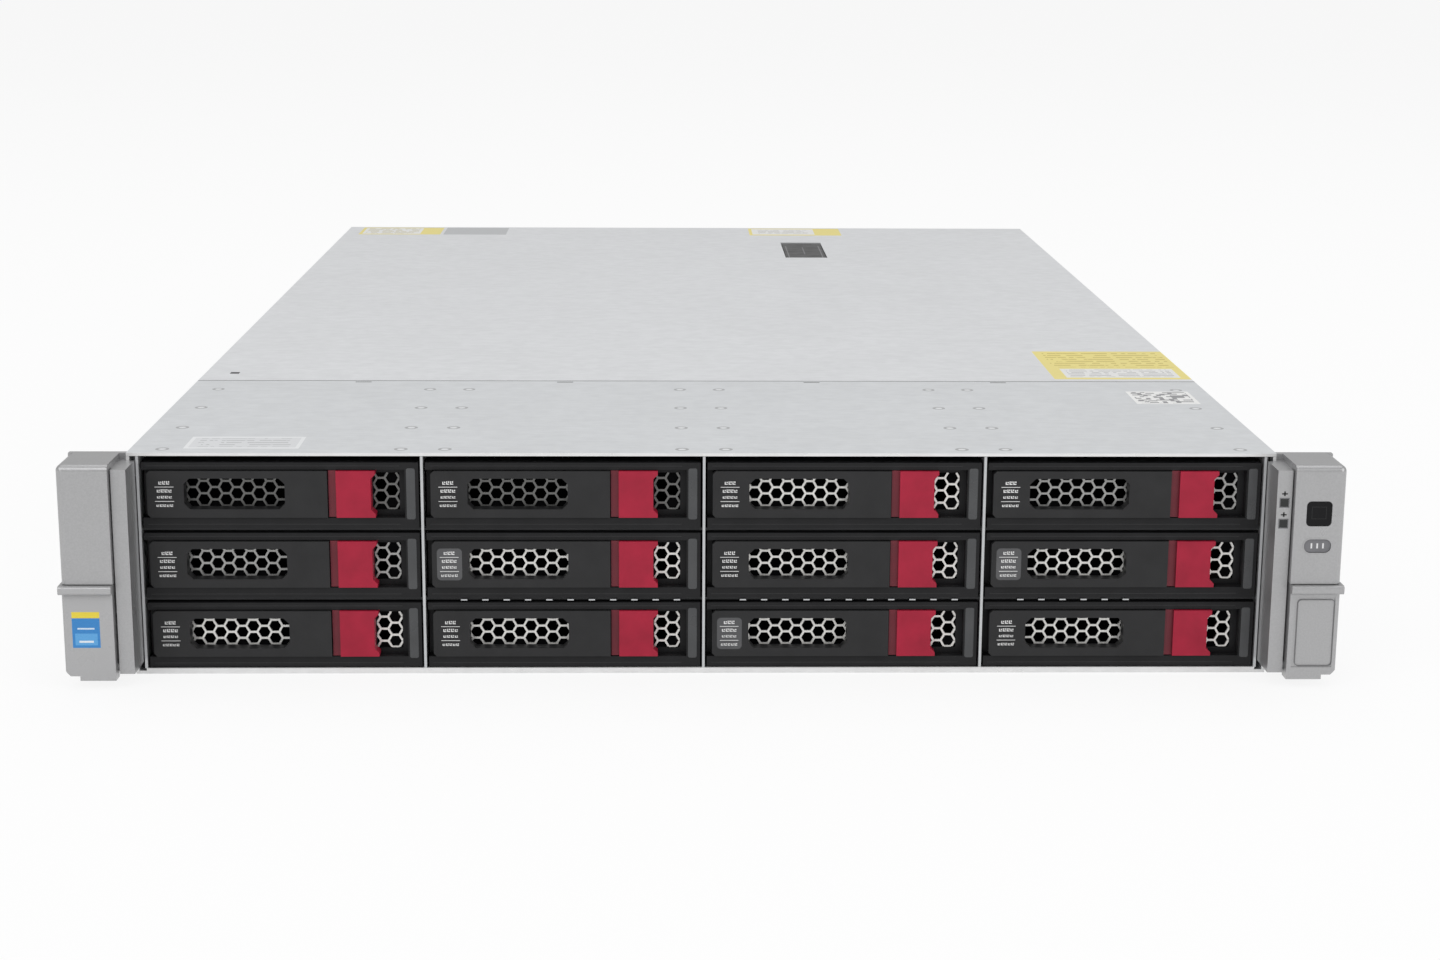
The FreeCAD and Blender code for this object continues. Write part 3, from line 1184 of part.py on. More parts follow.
def make_supply(number, bottom):
    """Power supply with mains inlet, air outlet and a pull handle."""
    tag = f"supply_{number}"
    face = f"({REAR}+psu_proud)"
    middle_z = f"({bottom}+psu_height/2)"
    outlet_x = f"({PSU_LEFT}+psu_fan_centre)"
    case = block(tag + "_case", PSU_LEFT, PSU_FRONT, bottom,
                 "psu_width", "psu_length", "psu_height")
    inlet = block(tag + "_inlet", f"{PSU_LEFT}+inlet_left", f"{face}-inlet_depth",
                  f"{middle_z}-inlet_height/2", "inlet_width",
                  "inlet_depth+sheet", "inlet_height")
    outlet = rod(tag + "_outlet", outlet_x, f"{face}-psu_fan_depth", middle_z,
                 "psu_fan_radius", "psu_fan_depth+sheet", (0, 1, 0))
    slot = block(tag + "_latch_slot",
                 f"{PSU_RIGHT}-psu_latch_inset-psu_latch_width-psu_latch_room",
                 f"{face}-psu_latch_root-psu_latch_gap",
                 f"{middle_z}-psu_latch_height/2-psu_latch_gap",
                 "psu_latch_room+psu_latch_width+psu_latch_gap",
                 "psu_latch_root+psu_latch_gap+sheet", "psu_latch_height+2*psu_latch_gap")
    bars = [block(f"{tag}_bar_{step + 1}", f"{outlet_x}-psu_fan_radius-sheet",
                  f"{face}-psu_bar", f"{middle_z}+{step}*psu_bar_pitch-psu_bar/2",
                  "2*psu_fan_radius+2*sheet", "psu_bar", "psu_bar") for step in (-1, 0, 1)]
    handle_left = f"({outlet_x}-handle_width/2)"
    handle_z = f"({bottom}+psu_height-handle_drop-handle_height)"
    grip = block(tag + "_grip", handle_left, f"{face}+handle_reach-handle_thickness",
                 handle_z, "handle_width", "handle_thickness", "handle_height")
    legs = [block(f"{tag}_leg_{side}", x, f"{face}-sheet", handle_z,
                  "handle_thickness", "handle_reach+sheet", "handle_height")
            for side, x in (("left", handle_left),
                            ("right", f"{handle_left}+handle_width-handle_thickness"))]
    shell = cut(tag + "_shell", case, [inlet, outlet, slot])
    return fuse(tag + "_solid", [shell, grip] + bars + legs)


def make_supply_latch(number, bottom):
    """Spring latch beside the handle, squeezed sideways to free the supply."""
    face = f"({REAR}+psu_proud)"
    return block(f"supply_latch_{number}", f"{PSU_RIGHT}-psu_latch_inset-psu_latch_width",
                 f"{face}-psu_latch_root", f"{bottom}+(psu_height-psu_latch_height)/2",
                 "psu_latch_width", "psu_latch_root+psu_latch_reach", "psu_latch_height")


make_bays()
publish("chassis_tray", make_tray())
publish("drive_cage", make_drive_cage())
publish("front_hood", make_hood())
publish("access_cover", make_cover())
publish("cover_latch", make_latch())
make_ears()
publish("right_ear_lever", make_flap("right_flap", True))
publish("left_ear_lever", mirrored("left_flap_mirror", make_flap("left_flap", False)))
publish("drive_backplane", make_backplane())
publish("fan_cage", make_fan_cage())
for fan_number, fan_position in enumerate(LIVE_FANS, start=1):
    publish(f"fan_rotor_{fan_number}", make_rotor(fan_number, fan_position))
publish("system_board", make_system_board())
publish("heat_sink", make_heat_sink())
publish("riser_cages", make_riser_cages())
for supply_number, supply_floor in enumerate(PSU_FLOORS, start=1):
    publish(f"power_supply_{supply_number}", make_supply(supply_number, supply_floor))
    publish(f"power_supply_latch_{supply_number}",
            make_supply_latch(supply_number, supply_floor))
doc.recompute()

for item in doc.Objects:
    if "Invalid" in item.State or "Error" in item.State:
        raise RuntimeError(f"{item.Name} failed: {item.State}")
for label, item in SUB_PARTS.items():
    if item.Shape.isNull() or not item.Shape.isValid() or not item.Shape.Solids:
        raise RuntimeError(f"{label} has no valid shape")

os.makedirs("parts", exist_ok=True)
for label, item in SUB_PARTS.items():
    item.Shape.exportStep(f"parts/{label}.step")
print(len(SUB_PARTS), "sub-parts written")
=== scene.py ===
import math
import bmesh
import bpy
from mathutils import Matrix, Vector


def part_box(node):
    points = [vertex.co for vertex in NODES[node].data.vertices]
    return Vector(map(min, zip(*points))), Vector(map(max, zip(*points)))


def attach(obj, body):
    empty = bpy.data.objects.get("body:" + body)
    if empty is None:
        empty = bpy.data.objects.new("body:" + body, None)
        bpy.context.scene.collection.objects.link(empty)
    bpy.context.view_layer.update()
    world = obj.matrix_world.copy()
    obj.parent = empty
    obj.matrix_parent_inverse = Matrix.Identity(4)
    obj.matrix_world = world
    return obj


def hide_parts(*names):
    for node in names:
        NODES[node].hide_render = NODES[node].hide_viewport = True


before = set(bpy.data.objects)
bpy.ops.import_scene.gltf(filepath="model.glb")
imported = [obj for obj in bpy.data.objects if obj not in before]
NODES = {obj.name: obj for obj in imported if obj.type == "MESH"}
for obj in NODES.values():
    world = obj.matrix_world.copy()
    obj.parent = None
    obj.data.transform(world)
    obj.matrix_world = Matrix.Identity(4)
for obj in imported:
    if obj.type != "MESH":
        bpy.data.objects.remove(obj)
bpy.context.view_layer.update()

MM = 0.001
ROWS = 3
COLUMNS = 4
BAY_PITCH = 107.5
BAYS = [f"{number:02d}" for number in range(1, ROWS * COLUMNS + 1)]


# Materials. Every colour is linear, and every pattern follows the object's own coordinates.

class Paint:
    """A node material with one Principled shader."""

    def __init__(self, name, colour, rough, metal=0.0, **sockets):
        self.material = bpy.data.materials.new(name)
        self.material.use_nodes = True
        self.tree = self.material.node_tree
        self.shader = self.tree.nodes["Principled BSDF"]
        self.set(self.shader, "Base Color", (*colour, 1.0))
        self.set(self.shader, "Roughness", rough)
        self.set(self.shader, "Metallic", metal)
        for socket, value in sockets.items():
            self.set(self.shader, socket.replace("_", " "), value)
        self.colour = colour
        self.rough = rough
        self.place = self.add("ShaderNodeTexCoord").outputs["Object"]
        self.surface = None

    def add(self, kind, **settings):
        node = self.tree.nodes.new(kind)
        for name, value in settings.items():
            setattr(node, name, value)
        return node

    def set(self, node, socket, value):
        if isinstance(value, bpy.types.NodeSocket):
            self.tree.links.new(value, node.inputs[socket])
        else:
            node.inputs[socket].default_value = value
        return node

    def math(self, operation, first, second=0.0, third=0.0):
        node = self.add("ShaderNodeMath", operation=operation)
        for index, value in enumerate((first, second, third)):
            self.set(node, index, value)
        return node.outputs[0]

    def axis(self, letter):
        node = self.add("ShaderNodeSeparateXYZ")
        self.set(node, 0, self.place)
        return node.outputs[letter]

    def stretched(self, scale):
        node = self.add("ShaderNodeMapping")
        self.set(node, "Vector", self.place)
        self.set(node, "Scale", scale)
        return node.outputs["Vector"]

    def noise(self, size, detail=2.0, stretch=(1, 1, 1)):
        """Noise with features of about size, in metres, pulled along the axes."""
        node = self.add("ShaderNodeTexNoise")
        self.set(node, "Vector", self.stretched(tuple(part / size for part in stretch)))
        self.set(node, "Scale", 1.0)
        self.set(node, "Detail", detail)
        return node.outputs["Fac"]

    def cells(self, size, feature="F1", output="Color"):
        node = self.add("ShaderNodeTexVoronoi", feature=feature)
        self.set(node, "Vector", self.place)
        self.set(node, "Scale", 1 / size)
        return node.outputs[output]

    def spread(self, value, low, high, out_low=0.0, out_high=1.0):
        node = self.add("ShaderNodeMapRange")
        for socket, number in (("Value", value), ("From Min", low), ("From Max", high),
                               ("To Min", out_low), ("To Max", out_high)):
            self.set(node, socket, number)
        return node.outputs["Result"]

    def mix(self, first, second, factor):
        node = self.add("ShaderNodeMix", data_type="RGBA")
        self.set(node, "Factor", factor)
        for socket, colour in ((6, first), (7, second)):
            value = colour if isinstance(colour, bpy.types.NodeSocket) else (*colour, 1.0)
            self.set(node, socket, value)
        return node.outputs[2]

    def vary(self, value, amount):
        """Lighten and darken the colour so far along a value that runs from 0 to 1."""
        dark = tuple(part * (1 - amount) for part in self.colour)
        light = tuple(min(part * (1 + amount), 1.0) for part in self.colour)
        self.paint(self.mix(dark, light, value))
        return self

    def paint(self, colour):
        self.surface = colour
        self.set(self.shader, "Base Color", colour)
        return self

    def over(self, colour, factor):
        """Lay another colour on the present one where factor is 1."""
        return self.paint(self.mix(self.surface or self.colour, colour, factor))

    def gloss(self, value, amount):
        self.set(self.shader, "Roughness",
                 self.spread(value, 0.3, 0.7, self.rough - amount, self.rough + amount))
        return self

    def bump(self, height, depth, strength=1.0):
        node = self.add("ShaderNodeBump")
        self.set(node, "Height", height)
        self.set(node, "Distance", depth)
        self.set(node, "Strength", strength)
        self.set(self.shader, "Normal", node.outputs["Normal"])
        return self

    def inside(self, x0, x1, y0, y1, letters="XY"):
        """1 in a rectangle in the plane of two axes, given in millimetres."""
        first = self.axis(letters[0])
        second = self.axis(letters[1])
        sides = [self.math("GREATER_THAN", first, x0 * MM), self.math("LESS_THAN", first, x1 * MM),
                 self.math("GREATER_THAN", second, y0 * MM),
                 self.math("LESS_THAN", second, y1 * MM)]
        result = sides[0]
        for side in sides[1:]:
            result = self.math("MULTIPLY", result, side)
        return result

    def wave(self, letter, pitch, start):
        """Distance in metres to the nearest of the lines that repeat every pitch."""
        shifted = self.math("ADD", self.axis(letter), (pitch / 2 - start) * MM)
        inside = self.math("FLOORED_MODULO", shifted, pitch * MM)
        return self.math("SUBTRACT", inside, pitch / 2 * MM)

    def length(self, first, second):
        squares = self.math("ADD", self.math("MULTIPLY", first, first),
                            self.math("MULTIPLY", second, second))
        return self.math("SQRT", squares)


def sheet_metal(name, colour, rough, metal, grain=(1, 12, 12)):
    """Rolled zinc-coated sheet: soft spangle, fine rolling lines and small marks."""
    paint = Paint(name, colour, rough, metal)
    spangle = paint.noise(0.006, 3.0)
    rolling = paint.noise(0.012, 4.0, grain)
    blend = paint.math("ADD", paint.math("MULTIPLY", spangle, 0.5),
                       paint.math("MULTIPLY", rolling, 0.5))
    paint.vary(paint.spread(blend, 0.35, 0.65), 0.05)
    paint.gloss(paint.noise(0.05, 3.0), 0.06)
    return paint.bump(rolling, 0.00002, 0.5)


def moulded(name, colour, rough, size=0.0005, depth=0.00002, **sockets):
    """Moulded plastic with a fine spark-eroded texture and faint handling marks."""
    paint = Paint(name, colour, rough, 0.0, **sockets)
    texture = paint.noise(size, 2.0)
    paint.vary(paint.spread(paint.noise(0.01, 3.0), 0.3, 0.7), 0.12)
    paint.gloss(paint.noise(0.008, 2.0), 0.05)
    return paint.bump(texture, depth, 0.8)


ROOF = (0.70, 0.71, 0.725)
SILVER = (0.41, 0.41, 0.415)
ZINC = (0.56, 0.57, 0.58)
CHARCOAL = (0.012, 0.012, 0.013)
CRIMSON = (0.36, 0.012, 0.038)
SHADE_CRIMSON = (0.15, 0.006, 0.018)
YELLOW = (0.83, 0.72, 0.25)
WHITE = (0.80, 0.80, 0.79)

roof = sheet_metal("roof_sheet", ROOF, 0.52, 0.15)
hood_sheet = sheet_metal("hood_sheet", (0.64, 0.655, 0.67), 0.52, 0.15)
zinc = sheet_metal("zinc_sheet", ZINC, 0.44, 0.5)
cage_steel = sheet_metal("cage_sheet", (0.55, 0.56, 0.57), 0.42, 0.7, (12, 12, 1))
shade_painted_shelf = sheet_metal("shade_painted_shelf", (0.035, 0.036, 0.038), 0.45, 0.4)
# Grille rib steel in three tones: the full tone, and two copies with painted shade in their colour
# for carriers whose ribs lie in shade.
honeycomb = sheet_metal("honeycomb_steel", (0.86, 0.85, 0.82), 0.30, 0.35)
painted_shade_honeycomb = sheet_metal("shaded_honeycomb_steel", (0.17, 0.17, 0.165), 0.35, 0.5)
half_painted_shade_honeycomb = sheet_metal("half_shaded_honeycomb_steel", (0.42, 0.42, 0.41), 0.32, 0.4)
silver = Paint("satin_silver", SILVER, 0.32, 0.6)
silver.vary(silver.spread(silver.noise(0.0006, 2.0), 0.35, 0.65), 0.04)
silver.gloss(silver.noise(0.02, 3.0), 0.05)
silver.bump(silver.noise(0.0008, 2.0), 0.000008, 0.5)
charcoal = moulded("charcoal_plastic", CHARCOAL, 0.50, Specular_IOR_Level=0.22)
lever_plastic = moulded("lever_plastic", (0.020, 0.020, 0.021), 0.46, Specular_IOR_Level=0.28)
crimson = moulded("crimson_plastic", CRIMSON, 0.42, 0.0006, 0.000015,
                  Specular_IOR_Level=0.28)
painted_shade_crimson = moulded("painted_shade_crimson_plastic", SHADE_CRIMSON, 0.45)
strip_plastic = moulded("light_strip_plastic", (0.055, 0.057, 0.060), 0.30)
black_gloss = moulded("black_button_plastic", (0.004, 0.004, 0.005), 0.22, 0.002, 0.000005,
                      Specular_IOR_Level=0.2)
grey_plastic = moulded("grey_button_plastic", (0.16, 0.16, 0.17), 0.35)
black_plastic = moulded("black_plastic", (0.015, 0.015, 0.016), 0.40)
mark_ink = moulded("pale_marks", (0.72, 0.72, 0.72), 0.5, 0.0004, 0.000002)
dark_edge_ink = moulded("plate_edge", (0.17, 0.17, 0.175), 0.4, 0.0004, 0.000002)
sticker_grey = moulded("clear_sticker", (0.075, 0.076, 0.080), 0.22, 0.001, 0.000003)
drive_case = sheet_metal("drive_case", (0.48, 0.49, 0.50), 0.38, 0.8)


def make_board_paint():
    """Lacquered circuit board with fine copper tracks and pads."""
    paint = Paint("circuit_board", (0.018, 0.085, 0.042), 0.30, 0.0)
    fine = paint.cells(0.004, "DISTANCE_TO_EDGE", "Distance")
    tracks = paint.math("LESS_THAN", fine, 0.05)
    pads = paint.math("LESS_THAN", paint.cells(0.003, "F1", "Distance"), 0.16)
    paint.vary(paint.spread(paint.noise(0.02, 3.0), 0.3, 0.7), 0.2)
    paint.over((0.035, 0.14, 0.07), tracks)
    paint.over((0.55, 0.52, 0.42), pads)
    return paint.bump(tracks, 0.00003, 0.5)


board_green = make_board_paint()
aluminium = sheet_metal("bare_aluminium", (0.72, 0.73, 0.74), 0.32, 0.9)
case_metal = sheet_metal("supply_case", (0.52, 0.53, 0.54), 0.38, 0.75)
green_lens = moulded("green_lens", (0.05, 0.42, 0.12), 0.25)
contact_gold = sheet_metal("contact_gold", (0.72, 0.50, 0.20), 0.25, 0.95)
chip_black = moulded("chip_black", (0.012, 0.012, 0.013), 0.5)
capacitor = sheet_metal("capacitor_case", (0.62, 0.63, 0.65), 0.3, 0.8)
slot_blue = moulded("slot_blue", (0.03, 0.09, 0.28), 0.4)
# Near black with almost no sheen: painted shade where only shade shows, behind grille cells, in
# holes and in pits.
painted_shade_black = moulded("painted_shade_black", (0.003, 0.003, 0.0035), 0.8, Specular_IOR_Level=0.05)

RIVET_OFFSET = 8.4
RIVET_PITCH = 41.0
RIVET_START = 7.0
FRONT_Y = -350.0


def rivet_rows(paint):
    """Flush rivets on both sides of each divider, as shallow rings in the hood."""
    across = paint.math("SUBTRACT", paint.math("ABSOLUTE", paint.wave("X", BAY_PITCH, 0.0)),
                        RIVET_OFFSET * MM)
    along = paint.wave("Y", RIVET_PITCH, FRONT_Y + RIVET_START)
    reach = paint.length(across, along)
    ring = paint.math("LESS_THAN", paint.math("ABSOLUTE", paint.math("SUBTRACT", reach,
                                                                     0.0021)), 0.00055)
    paint.over((0.40, 0.405, 0.41), ring)
    paint.over((0.76, 0.77, 0.78), paint.math("LESS_THAN", reach, 0.0012))
    dome = paint.spread(reach, 0.0, 0.0026, 1.0, 0.0)
    paint.bump(dome, 0.0004, 0.9)


# A band across the top sheet at a seam: painted shade in the dark default colour, a painted
# highlight when given a light colour.
def painted_seam_lighting(paint, low, high, colour=(0.13, 0.135, 0.14)):
    paint.over(colour, paint.inside(-230, 230, low, high))


def dot_label(paint, x0, x1, y0, y1):
    """A white label with a matrix of random dots that mean nothing."""
    paint.over((0.86, 0.86, 0.85), paint.inside(x0, x1, y0, y1))
    dots = paint.add("ShaderNodeTexWhiteNoise", noise_dimensions="3D")
    snapped = paint.add("ShaderNodeVectorMath", operation="SNAP")
    paint.set(snapped, 0, paint.place)
    paint.set(snapped, 1, (0.0019, 0.0019, 1.0))
    paint.set(dots, "Vector", snapped.outputs["Vector"])
    dark = paint.math("GREATER_THAN", dots.outputs["Value"], 0.52)
    border = 1.6
    area = paint.inside(x0 + border, x1 - border, y0 + border, y1 - border)
    paint.over((0.30, 0.30, 0.31), paint.math("MULTIPLY", dark, area))


def printed_lines(paint, x0, x1, y0, y1, pitch, colour):
    """Rows of short dashes, as on a small generic label."""
    row = paint.math("LESS_THAN", paint.math("ABSOLUTE", paint.wave("Y", pitch, y0)),
                     pitch * 0.17 * MM)
    word = paint.math("GREATER_THAN", paint.noise(0.0035, 1.0, (1, 0.3, 1)), 0.46)
    mark = paint.math("MULTIPLY", paint.math("MULTIPLY", row, word),
                      paint.inside(x0, x1, y0, y1))
    paint.over(colour, mark)


# Blank stickers and faint plates on the roof, in millimetres from the frame's origin.
HOOD_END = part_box("front_hood")[1].y / MM
rivet_rows(hood_sheet)
hood_sheet.over((0.80, 0.81, 0.82), hood_sheet.inside(-199, -155, FRONT_Y + 8, FRONT_Y + 30))
hood_sheet.over(ROOF, hood_sheet.inside(-197.5, -156.5, FRONT_Y + 10, FRONT_Y + 28))
printed_lines(hood_sheet, -195, -159, FRONT_Y + 11, FRONT_Y + 27, 4.0, (0.50, 0.51, 0.52))
dot_label(hood_sheet, 184, 211, FRONT_Y + 99, FRONT_Y + 127)
# Painted shade in the seam where the hood meets the cover.
painted_seam_lighting(hood_sheet, HOOD_END - 0.9, HOOD_END + 0.1)
# Painted shade: dark patches for notches near the hood's back edge.
for notch in (-150.0, -62.0, 46.0, 128.0):
    hood_sheet.over((0.16, 0.165, 0.17),
                    hood_sheet.inside(notch, notch + 7, HOOD_END - 4.2, HOOD_END - 2.6))
# Painted shade: two near-black squares for holes in the cover.
for hole in (-206.0, 206.0):
    roof.over((0.05, 0.05, 0.055), roof.inside(hole - 2, hole + 2, HOOD_END + 16, HOOD_END + 20))
roof.over(YELLOW, roof.inside(158, 221, FRONT_Y + 156, FRONT_Y + 228))
roof.over(WHITE, roof.inside(164, 215, FRONT_Y + 160, FRONT_Y + 182))
roof.over(YELLOW, roof.inside(-210, -158, FRONT_Y + 662, FRONT_Y + 697))
roof.over(WHITE, roof.inside(-208, -171, FRONT_Y + 665, FRONT_Y + 694))
roof.over((0.50, 0.51, 0.52), roof.inside(-156, -116, FRONT_Y + 662, FRONT_Y + 697))
roof.over(YELLOW, roof.inside(40, 99, FRONT_Y + 662, FRONT_Y + 697))
roof.over(WHITE, roof.inside(42, 82, FRONT_Y + 666, FRONT_Y + 694))
printed_lines(roof, 166, 213, FRONT_Y + 162, FRONT_Y + 180, 3.6, (0.42, 0.42, 0.42))
printed_lines(roof, 162, 217, FRONT_Y + 186, FRONT_Y + 224, 5.2, (0.58, 0.47, 0.12))
printed_lines(roof, -206, -173, FRONT_Y + 666, FRONT_Y + 693, 5.0, (0.52, 0.46, 0.22))
printed_lines(roof, 46, 78, FRONT_Y + 670, FRONT_Y + 690, 5.0, (0.45, 0.44, 0.40))
# Painted highlight along the cover's front edge at the same seam.
painted_seam_lighting(roof, HOOD_END - 0.1, HOOD_END + 0.35, (0.84, 0.85, 0.86))


# Shapes. Meshes are built in the frame itself, so every object's origin is the frame's.

def add_box(mesh, low, high, index=0):
    """A box between two corners in millimetres."""
    low, high = Vector(low) * MM, Vector(high) * MM
    corners = [mesh.verts.new((x, y, z)) for x in (low.x, high.x)
               for y in (low.y, high.y) for z in (low.z, high.z)]
    for loop in ((0, 1, 3, 2), (4, 6, 7, 5), (0, 4, 5, 1), (2, 3, 7, 6), (0, 2, 6, 4),
                 (1, 5, 7, 3)):
        face = mesh.faces.new([corners[number] for number in loop])
        face.material_index = index


def add_turned(mesh, centre, axis, profile, sides=16, index=0):
    """A turned form: profile holds (radius, height) pairs along axis, in millimetres."""
    turn = Vector((0, 0, 1)).rotation_difference(Vector(axis)).to_matrix()
    rings = []
    for radius, height in profile:
        ring = []
        for side in range(sides):
            angle = 2 * math.pi * side / sides
            spot = Vector((radius * math.cos(angle), radius * math.sin(angle), height))
            ring.append(mesh.verts.new((Vector(centre) + turn @ spot) * MM))
        rings.append(ring)
    for lower, upper in zip(rings, rings[1:]):
        for side in range(sides):
            after = (side + 1) % sides
            face = mesh.faces.new((lower[side], lower[after], upper[after], upper[side]))
            face.material_index = index
            face.smooth = True
    for ring, loop in ((rings[0], rings[0][::-1]), (rings[-1], rings[-1])):
        mesh.faces.new(loop).material_index = index


def add_plate(mesh, outline, y0, y1, index=0):
    """A plate along Y through points given as (x, z) pairs, in millimetres."""
    front = [mesh.verts.new((x * MM, y0 * MM, z * MM)) for x, z in outline]
    back = [mesh.verts.new((x * MM, y1 * MM, z * MM)) for x, z in outline]
    faces = [mesh.faces.new(front), mesh.faces.new(back[::-1])]
    for number in range(len(outline)):
        after = (number + 1) % len(outline)
        faces.append(mesh.faces.new((front[number], back[number], back[after], front[after])))
    for face in faces:
        face.material_index = index


def rounded(x0, z0, x1, z1, radius, steps=5):
    """Points of a rectangle with rounded corners."""
    points = []
    for centre_x, centre_z, start in ((x1 - radius, z1 - radius, 0), (x0 + radius, z1 - radius, 1),
                                      (x0 + radius, z0 + radius, 2), (x1 - radius, z0 + radius, 3)):
        for step in range(steps + 1):
            angle = math.pi / 2 * (start + step / steps)
            points.append((centre_x + radius * math.cos(angle),
                           centre_z + radius * math.sin(angle)))
    return points


def frame_bars(x0, z0, x1, z1, width):
    return [(x0, z0, x1, z0 + width), (x0, z1 - width, x1, z1),
            (x0, z0 + width, x0 + width, z1 - width), (x1 - width, z0 + width, x1, z1 - width)]


def piece(name, mesh, paints, body, bevel=0.0, replaces=()):
    """Turn a bmesh into an object that rides on a body."""
    bmesh.ops.recalc_face_normals(mesh, faces=mesh.faces)
    data = bpy.data.meshes.new(name)
    mesh.to_mesh(data)
    mesh.free()
    made = bpy.data.objects.new(name, data)
    bpy.context.scene.collection.objects.link(made)
    for paint in paints:
        data.materials.append(paint.material)
    if bevel:
        add_bevel(made, bevel)
    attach(made, body)
    if replaces:
        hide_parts(*replaces)
    return made


def add_bevel(item, width, segments=2):
    """Soften the sharp edges of an object."""
    bevel = item.modifiers.new("soft_edges", "BEVEL")
    bevel.width = width * MM
    bevel.segments = segments
    bevel.limit_method = "ANGLE"
    bevel.angle_limit = math.radians(40)
    bevel.harden_normals = False


def dress(node, paints, choose=None, bevel=0.0, smooth=0.0):
    """Give a CAD node its materials, chosen by the middle and normal of each face."""
    item = NODES[node]
    item.data.materials.clear()
    for paint in paints:
        item.data.materials.append(paint.material)
    if choose:
        for face in item.data.polygons:
            face.material_index = choose(face.center / MM, face.normal)
    if smooth:
        item.data.shade_smooth()
        item.data.set_sharp_from_angle(angle=math.radians(smooth))
    if bevel:
        add_bevel(item, bevel)
    return item


def corners_of(node):
    low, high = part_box(node)
    return low / MM, high / MM


# Chassis and roof.

# A lighter sheet on front lips and cut edges: a painted highlight.
highlight_lip_steel = sheet_metal("highlight_lip_sheet", (0.78, 0.78, 0.78), 0.30, 0.45)

tray_sheet = sheet_metal("tray_sheet", ZINC, 0.44, 0.5, (12, 1, 12))
WELD_PITCH = 46.0
WELD_RADIUS = 0.0019
WELD_LINE = 0.0005
SIDE_FROM = 0.2165
FLOOR_BELOW = 0.0015
SEAM_HEIGHT = 0.0832
SEAM_LINE = 0.0002
on_side = tray_sheet.math("GREATER_THAN", tray_sheet.math("ABSOLUTE", tray_sheet.axis("X")),
                          SIDE_FROM)
on_floor = tray_sheet.math("MULTIPLY",
                           tray_sheet.math("LESS_THAN", tray_sheet.axis("Z"), FLOOR_BELOW),
                           tray_sheet.math("SUBTRACT", 1.0, on_side))
for letter, pitch, start, area in (("Z", 73.0, 7.6, on_side), ("X", 62.0, 31.0, on_floor)):
    reach = tray_sheet.length(tray_sheet.wave("Y", WELD_PITCH, 11.0),
                              tray_sheet.wave(letter, pitch, start))
    rim = tray_sheet.math("ABSOLUTE", tray_sheet.math("SUBTRACT", reach, WELD_RADIUS))
    weld = tray_sheet.math("MULTIPLY", tray_sheet.math("LESS_THAN", rim, WELD_LINE), area)
    tray_sheet.over((0.33, 0.335, 0.34), weld)
from_seam = tray_sheet.math(
    "ABSOLUTE", tray_sheet.math("SUBTRACT", tray_sheet.axis("Z"), SEAM_HEIGHT))
tray_sheet.over((0.34, 0.345, 0.35), tray_sheet.math("LESS_THAN", from_seam, SEAM_LINE))
dress("chassis_tray", [tray_sheet, highlight_lip_steel],
      lambda middle, normal: 1 if middle.y < FRONT_Y + 1.3 else 0, bevel=0.15)
DIVIDER_REACH = 2


def cage_paint(middle, normal):
    """Shelves, floor and bay walls painted near black as shade, bare dividers."""
    past_divider = middle.x % BAY_PITCH
    clear = past_divider > DIVIDER_REACH and BAY_PITCH - past_divider > DIVIDER_REACH
    return 1 if abs(normal.z) > 0.5 or clear else 0


dress("drive_cage", [cage_steel, shade_painted_shelf], cage_paint)


def outer_side(middle, normal):
    """Printed face on top, a painted highlight on the cut edge at the front, plain sheet elsewhere.
    """
    if normal.z > 0.9:
        return 0
    return 2 if normal.y < -0.9 and middle.z > 85.5 else 1


dress("access_cover", [roof, zinc, highlight_lip_steel], outer_side, bevel=0.15)
dress("front_hood", [hood_sheet, zinc, highlight_lip_steel], outer_side, bevel=0.15)
dress("cover_latch", [black_plastic], bevel=0.4, smooth=30)
latch_low, latch_high = corners_of("cover_latch")
latch_trim = bmesh.new()
LATCH_PIN_ROOM = 14.0
trim_end = latch_high.y - LATCH_PIN_ROOM
middle_x = (latch_low.x + latch_high.x) / 2
for low_x, low_y, high_x, high_y in frame_bars(latch_low.x + 1.6, latch_low.y + 1.6,
                                               latch_high.x - 1.6, trim_end, 0.6) \
        + [(middle_x - 0.3, latch_low.y + 16, middle_x + 0.3, trim_end - 6)]:
    add_box(latch_trim, (low_x, low_y, latch_high.z - 0.1), (high_x, high_y, latch_high.z + 0.05))
piece("latch_trim", latch_trim, [grey_plastic], "cover_latch")
dress("fan_cage", [cage_steel, black_plastic],
      lambda middle, normal: 1 if middle.z > 3.5 and middle.z < 63.39 else 0)


# Ears.

sticker = Paint("blue_sticker", SILVER, 0.30)
sticker.over((0.03, 0.22, 0.55), sticker.inside(-237.9, -227.5, 16.4, 30.4, "XZ"))
sticker.over((0.10, 0.36, 0.70), sticker.inside(-236.9, -228.5, 17.4, 22.0, "XZ"))
sticker.over((0.72, 0.78, 0.84), sticker.inside(-235.4, -230.0, 18.4, 19.2, "XZ"))
sticker.over((0.60, 0.72, 0.84), sticker.inside(-235.9, -229.5, 23.6, 24.2, "XZ"))
sticker.over((0.78, 0.62, 0.05), sticker.inside(-237.9, -227.5, 28.0, 30.4, "XZ"))
sticker.gloss(sticker.noise(0.004), 0.05)
sticker.bump(sticker.noise(0.0008, 2.0), 0.000008, 0.5)
EAR_FRONT = -370.0

for side in ("right", "left"):
    dress(f"{side}_ear", [silver], bevel=0.35, smooth=35)
dress("right_ear_lever", [silver], bevel=0.35, smooth=35)
dress("left_ear_lever", [silver, sticker],
      lambda middle, normal: 1 if normal.y < -0.9 and middle.y < EAR_FRONT + 0.1 else 0,
      bevel=0.35, smooth=35)


def add_bars(mesh, y0, y1, bars, index=0):
    """Thin plates in the front view: each bar is (x0, z0, x1, z1) in millimetres."""
    for x0, z0, x1, z1 in bars:
        add_box(mesh, (x0, y0, z0), (x1, y1, z1), index)


